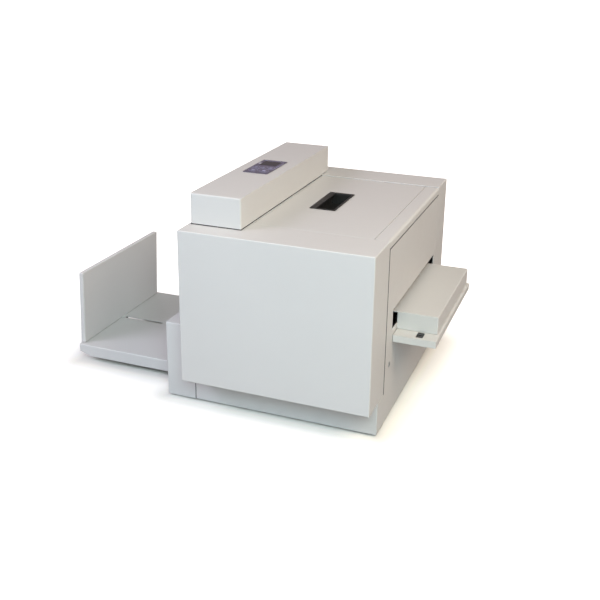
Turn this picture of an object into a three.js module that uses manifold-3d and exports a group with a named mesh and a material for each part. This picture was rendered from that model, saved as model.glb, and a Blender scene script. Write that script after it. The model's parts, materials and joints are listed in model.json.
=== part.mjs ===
// Booklet spine squarer, a desktop mailroom and print-finishing machine. A stapled booklet is pushed in
// over the infeed deck on the right, spine first. A stop gate catches the spine, a jaw lifts and clamps
// the booklet, and a roller on a screw-driven carriage runs along the spine and presses it square. Two
// pairs of feed rollers then carry the booklet out on the left, down a chute and onto the delivery tray.
// Millimetres, +Z up. The front is at low Y, the infeed at high X. The origin is under the machine's middle.
import * as THREE from "three";
import { mergeVertices } from "three/addons/utils/BufferGeometryUtils.js";
import Module from "manifold-3d";

const wasm = await Module();
wasm.setup();

// ---- Driving dimensions, in the body's own frame: x and y from the covers' front left corner, z from the table
const body = { width: 350, depth: 525, height: 348 };
const sheet = 1.5; // sheet metal
const fit = 0.4; // gap between pieces that touch
const footHeight = 4;
const coverBottom = 65; // underside of the front and rear covers
const frontCoverEnd = 85;
const rearCoverStart = body.depth - 76;
const rearCoverTop = body.height + sheet; // the rear cover laps over the frame
const plinth = { front: 50, back: 475, top: coverBottom - 1 };
const panIndent = 2; // the base pan's ends, inside the side panels
const panelFront = frontCoverEnd + 3.4; // an open seam is left beside the front cover
const panelTop = 332.4;
const railSkirtBottom = panelTop + 2;

const path = { z: 195, front: 126, back: 438 }; // the level booklets slide on, and the ends of their slots
const throat = 15; // open height over that level
const infeedEnd = 424;
const ledge = { end: 428, front: 128, back: 432, bottom: 149, top: 162 };
const housing = { left: -56.5, top: 150 };
const tray = { left: -292, front: 110, back: 417, bottom: 14, top: 37, chamfer: { length: 24, height: 8 } };
const stop = { front: 118, back: 409, depth: 9.5, top: 188, lean: 5.5, travel: 90 };
const controlBox = { left: 6, right: 101.5, front: 40, back: 486, bottom: body.height + fit, top: 404 };
const keypad = { left: 28, right: 78, front: 208, back: 311 };
const lid = { left: 105.5, right: 322.5, front: frontCoverEnd + fit, back: rearCoverStart - fit };
const lidGap = 0.9;
const lidAxis = { x: lid.right - 12, z: body.height - 6.5 };
const shelfTop = body.height - sheet - fit; // what the closed lid rests on
const shelf = { bottom: shelfTop - sheet, top: shelfTop };
const grip = { left: 164, right: 208, front: 214, back: 327, depth: 22 };

const innerFloor = footHeight + sheet + 0.5; // the level that stands just clear of the base pan's floor
const above = 500; // a level over everything, for cuts that run out at the top
const plateFront = { from: 60, to: 63 };
const plateRear = { from: 470, to: 473 };
const rollerRadius = 14;
const nipZ = path.z + throat + rollerRadius; // the upper rollers' height when they are lifted
const nipTravel = 13.5;
const nipBar = { half: 10, bottom: rollerRadius + 2, top: rollerRadius + 8 }; // from the upper roller's axis
const shaftRadius = 5;
const infeedRollerX = 305;
const outfeedRollerX = 48;
const motorPulley = { x: 243, z: 98 };
const pulleyFace = { from: 42, to: 54 };
const jaw = { left: 131, right: 215, front: 110, back: 425 };
const jackX = 178;
const jackYs = { front: 140, rear: 395 };
const jackRadius = 8;
const jackPulleyRadius = 15;
const motorHalf = 28; // half of the motors' square flange
const spigotRadius = 6; // the turned-down lower end of the rear jack screw
const spineX = 128; // where the spine stands when it is pressed
const pressRollerRadius = 20;
const carriage = { left: 64, right: 148, bottom: 232, top: 290, home: 92, length: 56 };
const rodZ = 272;
const rodRadius = 6;
const screwRadius = 7;
const gate = { x: 126, z: 150, reach: 60, front: 140, back: 396 };

// ---- Materials
const painted = new THREE.MeshStandardMaterial({ color: 0xd3d3cf, roughness: 0.55, metalness: 0.0 });
const blackPlastic = new THREE.MeshStandardMaterial({ color: 0x1b1b1c, roughness: 0.5, metalness: 0.0 });
const overlayFilm = new THREE.MeshStandardMaterial({ color: 0x6d6a8c, roughness: 0.4, metalness: 0.0 });
const keyPlastic = new THREE.MeshStandardMaterial({ color: 0xb9b6cc, roughness: 0.5, metalness: 0.0 });
const darkGlass = new THREE.MeshStandardMaterial({ color: 0x22262c, roughness: 0.15, metalness: 0.0 });
const zincSteel = new THREE.MeshStandardMaterial({ color: 0xa9abad, roughness: 0.4, metalness: 1.0 });
const groundSteel = new THREE.MeshStandardMaterial({ color: 0xc4c6c8, roughness: 0.22, metalness: 1.0 });
const aluminium = new THREE.MeshStandardMaterial({ color: 0xb8babc, roughness: 0.38, metalness: 1.0 });
const rubber = new THREE.MeshStandardMaterial({ color: 0x2a2a2b, roughness: 0.85, metalness: 0.0 });
const boardGreen = new THREE.MeshStandardMaterial({ color: 0x1f5a3a, roughness: 0.5, metalness: 0.0 });

// ---- Solids: a three.js geometry becomes a manifold-3d solid to be cut and joined, and then a mesh again.
const machine = new THREE.Group();

function solidOf(geometry) {
  const bare = geometry.clone();
  bare.deleteAttribute("normal");
  bare.deleteAttribute("uv");
  const merged = mergeVertices(bare, 1e-4);
  return new wasm.Manifold(
    new wasm.Mesh({
      numProp: 3,
      vertProperties: merged.attributes.position.array,
      triVerts: new Uint32Array(merged.index.array),
    }),
  );
}

function add(name, solid, material, position = [0, 0, 0]) {
  const made = solid.getMesh();
  const geometry = new THREE.BufferGeometry();
  geometry.setAttribute("position", new THREE.BufferAttribute(new Float32Array(made.vertProperties), 3));
  geometry.setIndex(new THREE.BufferAttribute(new Uint32Array(made.triVerts), 1));
  geometry.computeVertexNormals();
  const mesh = new THREE.Mesh(geometry, material);
  mesh.name = name;
  mesh.position.set(...position);
  machine.add(mesh);
}

const join = (...solids) => solids.reduce((a, b) => a.add(b));
const cut = (solid, ...tools) => tools.reduce((a, b) => a.subtract(b), solid);

function block(x0, x1, y0, y1, z0, z1) {
  const box = new THREE.BoxGeometry(x1 - x0, y1 - y0, z1 - z0);
  return solidOf(box.translate((x0 + x1) / 2, (y0 + y1) / 2, (z0 + z1) / 2));
}

// A cylinder along x, y or z, from a to b, at the given place across it: the other two coordinates, in order.
function cylinder(axis, radius, a, b, across, sides = 24) {
  const round = new THREE.CylinderGeometry(radius, radius, b - a, sides);
  const middle = (a + b) / 2;
  if (axis === "x") round.rotateZ(Math.PI / 2).translate(middle, across[0], across[1]);
  if (axis === "y") round.translate(across[0], middle, across[1]);
  if (axis === "z") round.rotateX(Math.PI / 2).translate(across[0], across[1], middle);
  return solidOf(round);
}

// An outline of [x, z] points extruded along y, or of [y, z] points along x.
function prism(axis, points, from, to) {
  const shape = new THREE.Shape(points.map((p) => new THREE.Vector2(...p)));
  const extruded = new THREE.ExtrudeGeometry(shape, { depth: to - from, bevelEnabled: false });
  const basis = new THREE.Matrix4();
  const up = new THREE.Vector3(0, 0, 1);
  const [alongX, alongY] = [new THREE.Vector3(1, 0, 0), new THREE.Vector3(0, 1, 0)];
  if (axis === "x") basis.makeBasis(alongY, up, alongX).setPosition(from, 0, 0);
  if (axis === "y") basis.makeBasis(alongX, up, alongY.negate()).setPosition(0, to, 0);
  return solidOf(extruded.applyMatrix4(basis));
}

// ---- Base: a sheet pan with the plinth's faces, on four rubber feet.
function buildBase() {
  const [left, right] = [panIndent, body.width - panIndent];
  const pan = cut(
    block(left, right, plinth.front, plinth.back, footHeight, plinth.top),
    block(left + sheet, right - sheet, plinth.front + sheet, plinth.back - sheet, footHeight + sheet, above),
  );
  const floor = footHeight + sheet;
  // A blind bearing for the rear jack screw's lower end stands on the floor.
  const bearing = { radius: 14, boreFrom: 20, top: 56 };
  const socket = cut(
    cylinder("z", bearing.radius, floor - 1, bearing.top, [jackX, jackYs.rear]),
    cylinder("z", spigotRadius + 0.5, bearing.boreFrom, bearing.top + 1, [jackX, jackYs.rear]),
  );
  // The front face runs past the right end, over the edge of the side panel.
  const flange = block(right - 0.2, body.width, plinth.front, plinth.front + sheet, footHeight, plinth.top);
  add("base_pan", join(pan, flange, socket), painted);
  const feet = { radius: 12, inset: 30, fromEnd: 30 };
  const footXs = { left: feet.inset, right: body.width - feet.inset };
  const footYs = { front: plinth.front + feet.fromEnd, rear: plinth.back - feet.fromEnd };
  for (const [side, x] of Object.entries(footXs))
    for (const [end, y] of Object.entries(footYs))
      add(`foot_${end}_${side}`, cylinder("z", feet.radius, 0, footHeight - fit, [0, 0]), rubber, [x, y, 0]);
}

// ---- Outer covers
const coverInside = [sheet, body.width - sheet];
const coverFloor = coverBottom + sheet;

function buildFrontCover() {
  const outer = block(0, body.width, 0, frontCoverEnd, coverBottom, body.height);
  const hollow = block(...coverInside, sheet, frontCoverEnd + 1, coverFloor, body.height - sheet);
  const underside = [coverBottom - 1, coverFloor + 1];
  const openBottom = block(...coverInside, plinth.front - 1, frontCoverEnd + 1, ...underside);
  add("front_cover", cut(outer, hollow, openBottom), painted);
}

const entry = { left: 223, right: 305, bottom: 85, top: 115 }; // the power entry module's body
function buildRearCover() {
  const outer = block(0, body.width, rearCoverStart, body.depth, coverBottom, rearCoverTop);
  const hollow = block(...coverInside, rearCoverStart - 1, body.depth - sheet, coverFloor, rearCoverTop - sheet);
  const underside = [coverBottom - 1, coverFloor + 1];
  const openBottom = block(...coverInside, rearCoverStart - 1, plinth.back + 1, ...underside);
  const wall = [body.depth - 5, body.depth + 5];
  const entryHole = block(entry.left - fit, entry.right + fit, ...wall, entry.bottom - fit, entry.top + fit);
  const vent = { left: 40, right: 130, bottom: 120, height: 5, pitch: 12, count: 6 };
  const vents = Array.from({ length: vent.count }, (_, i) => vent.bottom + i * vent.pitch).map((z) =>
    block(vent.left, vent.right, ...wall, z, z + vent.height),
  );
  add("rear_cover", cut(outer, hollow, openBottom, entryHole, ...vents), painted);
}

// A side panel also closes the end of the plinth, so its lower part is longer than its upper part.
function sidePanel(x) {
  const foot = plinth.front + sheet + fit;
  const outline = [
    [foot, footHeight],
    [plinth.back, footHeight],
    [plinth.back, plinth.top],
    [rearCoverStart - fit, plinth.top],
    [rearCoverStart - fit, panelTop],
    [panelFront, panelTop],
    [panelFront, plinth.top],
    [foot, plinth.top],
  ];
  return prism("x", outline, x, x + sheet);
}

function buildSidePanels() {
  const slotRoof = path.z + throat;
  const slotFloor = path.z - 22;
  const right = body.width - sheet;
  const screw = { y: 116, z: 110, radius: 5, slotWidth: 1.2 };
  const pullNotch = { front: 435, back: 441, depth: 3 }; // where a finger or a blade lifts the panel out
  add(
    "right_side_panel",
    cut(
      sidePanel(right),
      block(right - 1, body.width + 1, path.front, path.back, slotFloor, slotRoof),
      block(
        right - 1,
        body.width + 1,
        pullNotch.front,
        pullNotch.back,
        panelTop - pullNotch.depth,
        panelTop + 1,
      ),
      cylinder("x", screw.radius + fit, right - 1, body.width + 1, [screw.y, screw.z], 16),
    ),
    painted,
  );
  add(
    "side_panel_screw",
    cut(
      cylinder("x", screw.radius, right - 4, body.width + 1, [screw.y, screw.z], 16),
      block(
        body.width,
        body.width + 2,
        screw.y - screw.slotWidth / 2,
        screw.y + screw.slotWidth / 2,
        screw.z - screw.radius - 1,
        screw.z + screw.radius + 1,
      ),
    ),
    zincSteel,
  );
  const slot = block(-1, 3, path.front - 4, path.back + 3, slotFloor, slotRoof + 2);
  add("left_side_panel", cut(sidePanel(0), slot), painted);
}

// ---- Top: rails on both sides of the lid, and cross members under the covers that carry the lid's edge.
function buildTopFrame() {
  const [front, back] = [lid.front, lid.back];
  const railFloor = body.height - sheet;
  const railLeft = lid.left - lidGap;
  const railRight = lid.right + lidGap;
  const skirt = [railSkirtBottom, body.height];
  // Each cross member is notched at its right end, where the lid's hinge turns.
  const hingeNotch = [lidAxis.x - 10.5, railRight + 3];
  const crossMember = (from, to, notchFrom, notchTo) =>
    cut(
      block(2, body.width - 2, from, to, shelf.bottom, shelf.top),
      block(...hingeNotch, notchFrom, notchTo, shelf.bottom - 1, shelf.top + 1),
    );
  const rail = (x0, x1) => block(x0, x1, front, back, railFloor, body.height);
  const post = (x0, x1) => block(x0, x1, front + 0.2, back - 0.2, shelf.bottom, railFloor + 0.2);
  const frame = join(
    rail(0, railLeft),
    rail(railRight, body.width),
    block(0, sheet, front, back, ...skirt),
    block(body.width - sheet, body.width, front, back, ...skirt),
    post(railLeft - sheet, railLeft),
    post(railRight + 4, railRight + 10),
    block(railLeft - sheet, railLeft + 10, front, back, shelf.bottom, shelf.top),
    crossMember(front - 26, front + 9, front - 0.6, front + 10),
    crossMember(back - 9, back + 22, back - 10, back + 0.6),
  );
  add("top_frame", frame, painted);

  const pinLength = { front: [front - 11, front + 17], rear: [back - 17, back + 11] };
  const holder = { front: [front - 11, front - 0.6], rear: [back + 0.6, back + 11] };
  for (const end of ["front", "rear"])
    add(
      `hinge_pin_${end}`,
      join(
        block(lidAxis.x - 5.5, lidAxis.x + 5.5, ...holder[end], lidAxis.z - 5.5, shelf.bottom - fit),
        cylinder("y", 2, ...pinLength[end], [lidAxis.x, lidAxis.z], 16),
      ),
      zincSteel,
    );
}

function buildLid() {
  const under = body.height - sheet;
  const inset = 11;
  const skirt = {
    left: lid.left + inset,
    right: lidAxis.x - 4,
    front: lid.front + inset,
    back: lid.back - inset,
    depth: 9,
  };
  const skirtBottom = under - skirt.depth;
  const skirts = cut(
    block(skirt.left, skirt.right, skirt.front, skirt.back, skirtBottom, under + 0.2),
    block(skirt.left + sheet, skirt.right - sheet, skirt.front + sheet, skirt.back - sheet, 0, above),
  );
  const ears = [skirt.front, skirt.back - 4].map((y) =>
    cut(
      block(skirt.right - sheet, lid.right - 1, y, y + 4, lidAxis.z - 6, under + 0.2),
      cylinder("y", 2.6, y - 1, y + 5, [lidAxis.x, lidAxis.z], 16),
    ),
  );
  const plate = block(lid.left, lid.right, lid.front, lid.back, under, body.height);
  const hole = block(grip.left - fit, grip.right + fit, grip.front - fit, grip.back + fit, 0, above);
  add("top_lid", cut(join(plate, skirts, ...ears), hole), painted);

  const wall = 2;
  const brim = 3;
  const brimTop = body.height + fit + 1;
  const cupFloor = body.height - grip.depth;
  const cup = cut(
    join(
      block(grip.left, grip.right, grip.front, grip.back, cupFloor, brimTop),
      block(
        grip.left - brim,
        grip.right + brim,
        grip.front - brim,
        grip.back + brim,
        body.height + fit,
        brimTop,
      ),
    ),
    block(grip.left + wall, grip.right - wall, grip.front + wall, grip.back - wall, cupFloor + wall, above),
  );
  const fingerLip = block(grip.left, grip.left + 9, grip.front, grip.back, brimTop - 3, brimTop);
  add("lid_grip", join(cup, fingerLip), blackPlastic);
}

// ---- Control box: a long hood over its floor plate, with an overlay, a display, keys and a board.
function buildControlBox() {
  const { left, right, front, back, bottom, top } = controlBox;
  const window = block(keypad.left + 3, keypad.right - 3, keypad.front + 3, keypad.back - 3, top - 5, top + 5);
  add(
    "control_box",
    cut(
      block(left, right, front, back, bottom, top),
      block(left + sheet, right - sheet, front + sheet, back - sheet, 0, top - sheet),
      block(left - 1, right + 1, rearCoverStart - 1, back + 1, bottom - 1, rearCoverTop + fit),
      window,
    ),
    painted,
  );
  const inset = sheet + fit;
  const floor = [rearCoverTop + fit, rearCoverTop + fit + sheet];
  add("control_floor", block(left + inset, right - inset, front + inset, back - inset, ...floor), zincSteel);
  const board = { left: 20, right: 88, front: 190, back: 330, top: top - 10.4, thickness: 1.6 };
  add(
    "control_board",
    block(board.left, board.right, board.front, board.back, board.top - board.thickness, board.top),
    boardGreen,
  );

  const film = [top + fit, top + fit + 0.8];
  const display = { left: 36, right: 70, front: 268, back: 302 };
  const keys = {
    key_start: [42, 226, 7.5],
    key_stop: [64, 226, 7.5],
    key_minus: [37.5, 251, 5.2],
    key_plus: [53, 251, 5.2],
    key_mode: [68.5, 251, 5.2],
  };
  const holes = Object.values(keys).map(([x, y, r]) => cylinder("z", r + fit, top - 5, top + 5, [x, y], 20));
  add(
    "keypad_overlay",
    cut(
      block(keypad.left, keypad.right, keypad.front, keypad.back, ...film),
      block(display.left, display.right, display.front, display.back, top - 5, top + 5),
      ...holes,
    ),
    overlayFilm,
  );
  add(
    "display_window",
    block(
      display.left + fit,
      display.right - fit,
      display.front + fit,
      display.back - fit,
      top - 2,
      film[1] + 0.2,
    ),
    darkGlass,
  );
  const keyTravel = 0.8;
  for (const [name, [x, y, r]] of Object.entries(keys))
    add(name, cylinder("z", r, -2.6, keyTravel + 0.1, [0, 0], 20), keyPlastic, [x, y, film[1]]);
}

// ---- Infeed: a raised deck that runs in through the slot, over a ledge with the booklet sensor.
function buildInfeed() {
  const outside = body.width + fit;
  const deck = { left: 222, front: 157, back: 424 };
  const hood = cut(
    block(outside, infeedEnd, deck.front, deck.back, ledge.top + 0.6, path.z),
    block(outside - 1, infeedEnd - sheet, deck.front + sheet, deck.back - sheet, 0, path.z - sheet),
  );
  const inner = block(deck.left, outside + 1, deck.front, deck.back, path.z - sheet, path.z);
  const rollerGap = block(infeedRollerX - 18, infeedRollerX + 18, 172, 400, 0, above);
  add("infeed_deck", cut(join(hood, inner), rollerGap), painted);

  const sensor = { left: 390, right: 402, front: 134.5, back: 155.5 };
  const tool = block(sensor.left - fit, sensor.right + fit, sensor.front - fit, sensor.back + fit, 0, above);
  const tub = cut(
    block(outside, ledge.end, ledge.front, ledge.back, ledge.bottom, ledge.top),
    block(outside + sheet, ledge.end - sheet, ledge.front + sheet, ledge.back - sheet, 0, ledge.top - sheet),
    tool,
  );
  add("infeed_ledge", tub, painted);
  add(
    "infeed_sensor",
    block(sensor.left, sensor.right, sensor.front, sensor.back, ledge.bottom + 5, ledge.top + 0.3),
    blackPlastic,
  );
}

// ---- Delivery: a housing on the left, the chute over it, the tray, and its sliding stop wall and clamp knob.
function buildDelivery() {
  const right = -fit;
  const box = cut(
    block(housing.left, right, plinth.front, plinth.back, footHeight, housing.top),
    block(
      housing.left + sheet,
      1,
      plinth.front + sheet,
      plinth.back - sheet,
      footHeight + sheet,
      housing.top - sheet,
    ),
  );
  // Beside the plinth its front face runs on, over the edge of the left side panel.
  const lap = block(right - 0.2, panIndent - fit, plinth.front, plinth.front + sheet, footHeight, plinth.top);
  add("delivery_housing", join(box, lap), painted);
  const chute = prism(
    "y",
    [
      [84, path.z - sheet],
      [84, path.z],
      [-8, path.z],
      [housing.left + 2, housing.top + 2],
      [housing.left + 4, housing.top + 0.5],
      [-7, path.z - sheet - 0.4],
    ],
    path.front,
    path.back - 1,
  );
  const rollerGap = block(outfeedRollerX - 17, outfeedRollerX + 17, 172, 400, 0, above);
  add("outfeed_deck", cut(chute, rollerGap), zincSteel);

  const knobRadius = 8;
  const stud = { x: tray.left + sheet + 1 + knobRadius, y: (tray.front + tray.back) / 2, radius: 3 };
  const slot = block(stud.x - 4, stud.x + stop.travel + 4, stud.y - 3.5, stud.y + 3.5, 0, above);
  const trayRight = housing.left - fit;
  const cornerCut = prism(
    "y",
    [
      [tray.left - 1, tray.bottom - 1],
      [tray.left + tray.chamfer.length, tray.bottom - 1],
      [tray.left + tray.chamfer.length, tray.bottom],
      [tray.left, tray.bottom + tray.chamfer.height],
      [tray.left - 1, tray.bottom + tray.chamfer.height],
    ],
    tray.front - 1,
    tray.back + 1,
  );
  const tub = cut(
    block(tray.left, trayRight, tray.front, tray.back, tray.bottom, tray.top),
    block(tray.left + sheet, trayRight - sheet, tray.front + sheet, tray.back - sheet, 0, tray.top - sheet),
    cornerCut,
    slot,
  );
  add("delivery_tray", tub, painted);

  // The stop's wall is flush with the tray's end at its foot, and its top leans in over the tray.
  const foot = tray.top + fit;
  const leaned = (fromLeft, z) => [tray.left + fromLeft + (stop.lean * (z - foot)) / (stop.top - foot), z];
  const leaning = (left, right, bottom, top, ...ends) =>
    prism("y", [leaned(left, bottom), leaned(right, bottom), leaned(right, top), leaned(left, top)], ...ends);
  const wall = cut(
    leaning(0, stop.depth, foot, stop.top, stop.front, stop.back),
    leaning(-2, stop.depth - sheet, foot + sheet, stop.top - sheet, stop.front + sheet, stop.back - sheet),
  );
  const tongueSides = [stud.y - knobRadius, stud.y + knobRadius];
  const tongue = block(tray.left + stop.depth - 1, stud.x + 6, ...tongueSides, foot, foot + sheet);
  const stem = cylinder("z", stud.radius, 24, foot + 1, [stud.x, stud.y], 16);
  add("delivery_stop", join(wall, tongue, stem), painted);
  const knob = cut(
    cylinder("z", knobRadius, 21, tray.top - sheet - fit, [0, 0], 20),
    cylinder("z", stud.radius + fit, 22.5, tray.top, [0, 0], 16),
  );
  add("stop_knob", knob, blackPlastic, [stud.x, stud.y, 0]);
}

// ---- Inner frame: two plates that carry the shafts, rods and screws, with slots that guide the nip carriers.
const shafts = [
  [infeedRollerX, path.z + 1 - rollerRadius, shaftRadius],
  [outfeedRollerX, path.z + 1 - rollerRadius, shaftRadius],
  [gate.x, gate.z, shaftRadius],
  [carriage.left + 12, rodZ, rodRadius],
  [carriage.right - 12, rodZ, rodRadius],
  [(carriage.left + carriage.right) / 2, rodZ, shaftRadius],
];
function buildFrame() {
  const guideSlot = (x) => [x - nipBar.half - fit, x + nipBar.half + fit];
  const slotHeight = [nipZ + nipBar.bottom - nipTravel - fit, nipZ + nipBar.top + fit];
  const plate = ({ from, to }, bores) =>
    cut(
      block(6, body.width - 6, from, to, innerFloor, shelf.bottom - fit),
      ...bores.map(([x, z, r]) => cylinder("y", r + fit, from - 1, to + 1, [x, z])),
      ...[infeedRollerX, outfeedRollerX].map((x) => block(...guideSlot(x), from - 1, to + 1, ...slotHeight)),
    );
  const motorShaft = [motorPulley.x, motorPulley.z, shaftRadius];
  add("frame_plate_front", plate(plateFront, [...shafts, motorShaft]), zincSteel);
  add("frame_plate_rear", plate(plateRear, shafts), zincSteel);
}

// ---- Transport: drive rollers below the path and sprung rollers above it.
function buildTransport() {
  const sleeve = [175, 397];
  const driveZ = path.z + 1 - rollerRadius;
  const driveRoller = join(
    cylinder("y", shaftRadius, pulleyFace.from, plateRear.to - 0.5, [0, 0]),
    cylinder("y", rollerRadius, ...sleeve, [0, 0]),
    cylinder("y", rollerRadius, pulleyFace.from, pulleyFace.to, [0, 0]),
  );
  const cheeks = { front: [158, 164], rear: [408, 414] };
  const nipRoller = join(
    cylinder("y", shaftRadius, cheeks.front[0], cheeks.rear[1], [0, 0]),
    cylinder("y", rollerRadius, ...sleeve, [0, 0]),
  );
  const { half, bottom, top } = nipBar;
  const bar = block(-half, half, plateFront.from + 0.5, plateRear.to - 0.5, bottom, top);
  const legs = Object.values(cheeks).map((y) => block(-half, half, ...y, -8, bottom + 1));
  const bore = cylinder("y", shaftRadius + fit, cheeks.front[0] - 1, cheeks.rear[1] + 1, [0, 0]);
  const carrier = cut(join(bar, ...legs), bore);
  for (const [name, x] of Object.entries({ infeed: infeedRollerX, outfeed: outfeedRollerX })) {
    add(`${name}_drive_roller`, driveRoller, rubber, [x, 0, driveZ]);
    add(`${name}_nip_roller`, nipRoller, rubber, [x, 0, nipZ]);
    add(`${name}_nip_carrier`, carrier, zincSteel, [x, 0, nipZ]);
  }

  const motor = block(-motorHalf, motorHalf, plateFront.to + 0.6, plateFront.to + 62, -motorHalf, motorHalf);
  add("transport_motor", motor, blackPlastic, [motorPulley.x, 0, motorPulley.z]);
  const pulley = join(
    cylinder("y", rollerRadius, pulleyFace.from, pulleyFace.to, [0, 0]),
    cylinder("y", shaftRadius, pulleyFace.to - 1, plateFront.to, [0, 0]),
  );
  add("motor_pulley", pulley, aluminium, [motorPulley.x, 0, motorPulley.z]);

  const wheels = [
    [infeedRollerX, driveZ],
    [outfeedRollerX, driveZ],
    [motorPulley.x, motorPulley.z],
  ];
  const beltFace = [pulleyFace.from + 1, pulleyFace.to - 1];
  add("transport_belt", beltAround("y", wheels, rollerRadius, ...beltFace), rubber);
}

// A flat belt around round wheels: the wheels' outline grown by its two faces, extruded along their axis.
function beltAround(axis, wheels, radius, from, to) {
  const [inner, outer] = [radius + fit, radius + fit + 1.8];
  const steps = 32;
  const outline = (r) => {
    const rim = wheels.flatMap(([u, v]) =>
      Array.from({ length: steps }, (_, i) => {
        const angle = (2 * Math.PI * (i + 0.5)) / steps;
        return [u + r * Math.cos(angle), v + r * Math.sin(angle)];
      }),
    );
    return convexOutline(rim);
  };
  const slab = (points, a, b) => {
    if (axis === "y") return prism("y", points, a, b);
    const shape = new THREE.Shape(points.map((p) => new THREE.Vector2(...p)));
    return solidOf(new THREE.ExtrudeGeometry(shape, { depth: b - a, bevelEnabled: false }).translate(0, 0, a));
  };
  return cut(slab(outline(outer), from, to), slab(outline(inner), from - 1, to + 1));
}

// The convex outline of a set of points, by Andrew's monotone chain.
function convexOutline(points) {
  const sorted = [...points].sort((a, b) => a[0] - b[0] || a[1] - b[1]);
  const turn = (o, a, b) => (a[0] - o[0]) * (b[1] - o[1]) - (a[1] - o[1]) * (b[0] - o[0]);
  const half = (list) => {
    const chain = [];
    for (const p of list) {
      while (chain.length > 1 && turn(chain.at(-2), chain.at(-1), p) <= 0) chain.pop();
      chain.push(p);
    }
    return chain.slice(0, -1);
  };
  return [...half(sorted), ...half(sorted.reverse())];
}

// ---- Clamp: a fixed upper jaw, and a lower jaw that two jack screws lift.
function buildClamp() {
  const between = [plateFront.to + fit, plateRear.from - fit];
  const mouth = path.z + throat + 1;
  const upper = join(
    block(jaw.left, jaw.right, ...between, mouth, mouth + 10),
    block(jaw.right - 25, jaw.right - 13, ...between, mouth + 9, mouth + 51),
  );
  add("upper_jaw", upper, groundSteel);

  const ys = Object.values(jackYs);
  const top = path.z - 0.5;
  const nuts = ys.map((y) => cylinder("z", 14, top - 44, top - 15, [jackX, y]));
  const bores = ys.map((y) => cylinder("z", jackRadius + 0.6, 0, top - 4.5, [jackX, y]));
  const lower = cut(join(block(jaw.left, jaw.right, jaw.front, jaw.back, top - 18, top), ...nuts), ...bores);
  add("lower_jaw", lower, groundSteel);

  const beltLevel = [62, 74];
  const screw = join(
    cylinder("z", jackRadius, 56.4, top - 8.5, [0, 0]),
    cylinder("z", jackPulleyRadius, beltLevel[0] - 1, beltLevel[1] + 1, [0, 0]),
  );
  const spigot = cylinder("z", spigotRadius, 24, 58, [0, 0]);
  add("jack_screw_front", screw, groundSteel, [jackX, jackYs.front, 0]);
  add("jack_screw_rear", join(screw, spigot), groundSteel, [jackX, jackYs.rear, 0]);
  const wheels = ys.map((y) => [jackX, y]);
  add("jack_belt", beltAround("z", wheels, jackPulleyRadius, ...beltLevel), rubber);
  const [x, y] = [jackX, jackYs.front];
  const motorSides = [x - motorHalf, x + motorHalf, y - motorHalf, y + motorHalf];
  add("jack_motor", block(...motorSides, innerFloor, 56), blackPlastic);
}

// ---- Press: a carriage on two rods, driven by a long screw, with the roller under it.
function buildPress() {
  const middleX = (carriage.left + carriage.right) / 2;
  const rodXs = { left: carriage.left + 12, right: carriage.right - 12 };
  const ends = [plateFront.from + 0.5, plateRear.to - 0.5];
  const rollerX = spineX - pressRollerRadius;
  for (const [side, x] of Object.entries(rodXs))
    add(`guide_rod_${side}`, cylinder("y", rodRadius, ...ends, [0, 0]), groundSteel, [x, 0, rodZ]);
  const screw = join(
    cylinder("y", screwRadius, plateFront.to + 0.5, plateRear.from - 0.5, [0, 0]),
    cylinder("y", shaftRadius, ...ends, [0, 0]),
  );
  add("lead_screw", screw, groundSteel, [middleX, 0, rodZ]);
  const [front, back] = [carriage.home - carriage.length / 2, carriage.home + carriage.length / 2];
  const along = [front - 1, back + 1];
  add(
    "press_carriage",
    cut(
      block(carriage.left, carriage.right, front, back, carriage.bottom, carriage.top),
      cylinder("y", screwRadius + 0.5, ...along, [middleX, rodZ]),
      ...Object.values(rodXs).map((x) => cylinder("y", rodRadius + 0.5, ...along, [x, rodZ])),
      cylinder("z", shaftRadius + 0.5, carriage.bottom - 1, carriage.bottom + 26, [rollerX, carriage.home]),
    ),
    aluminium,
  );
  const roller = join(
    cylinder("z", pressRollerRadius, path.z - 2, carriage.bottom - 7, [0, 0], 32),
    cylinder("z", 9, carriage.bottom - 8, carriage.bottom - fit, [0, 0]),
    cylinder("z", shaftRadius, carriage.bottom - 1, carriage.bottom + 24, [0, 0]),
  );
  add("press_roller", roller, groundSteel, [rollerX, carriage.home, 0]);
  const motor = block(-motorHalf, motorHalf, plateRear.to + 0.6, plateRear.to + 48, -motorHalf, motorHalf);
  add("lead_screw_motor", motor, blackPlastic, [middleX, 0, rodZ]);

  const flap = join(
    cylinder("y", shaftRadius, ...ends, [0, 0]),
    block(-gate.reach, 0, gate.front, gate.back, -1.5, 1.5),
  );
  add("stop_gate", flap, zincSteel, [gate.x, 0, gate.z]);
}

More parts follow.
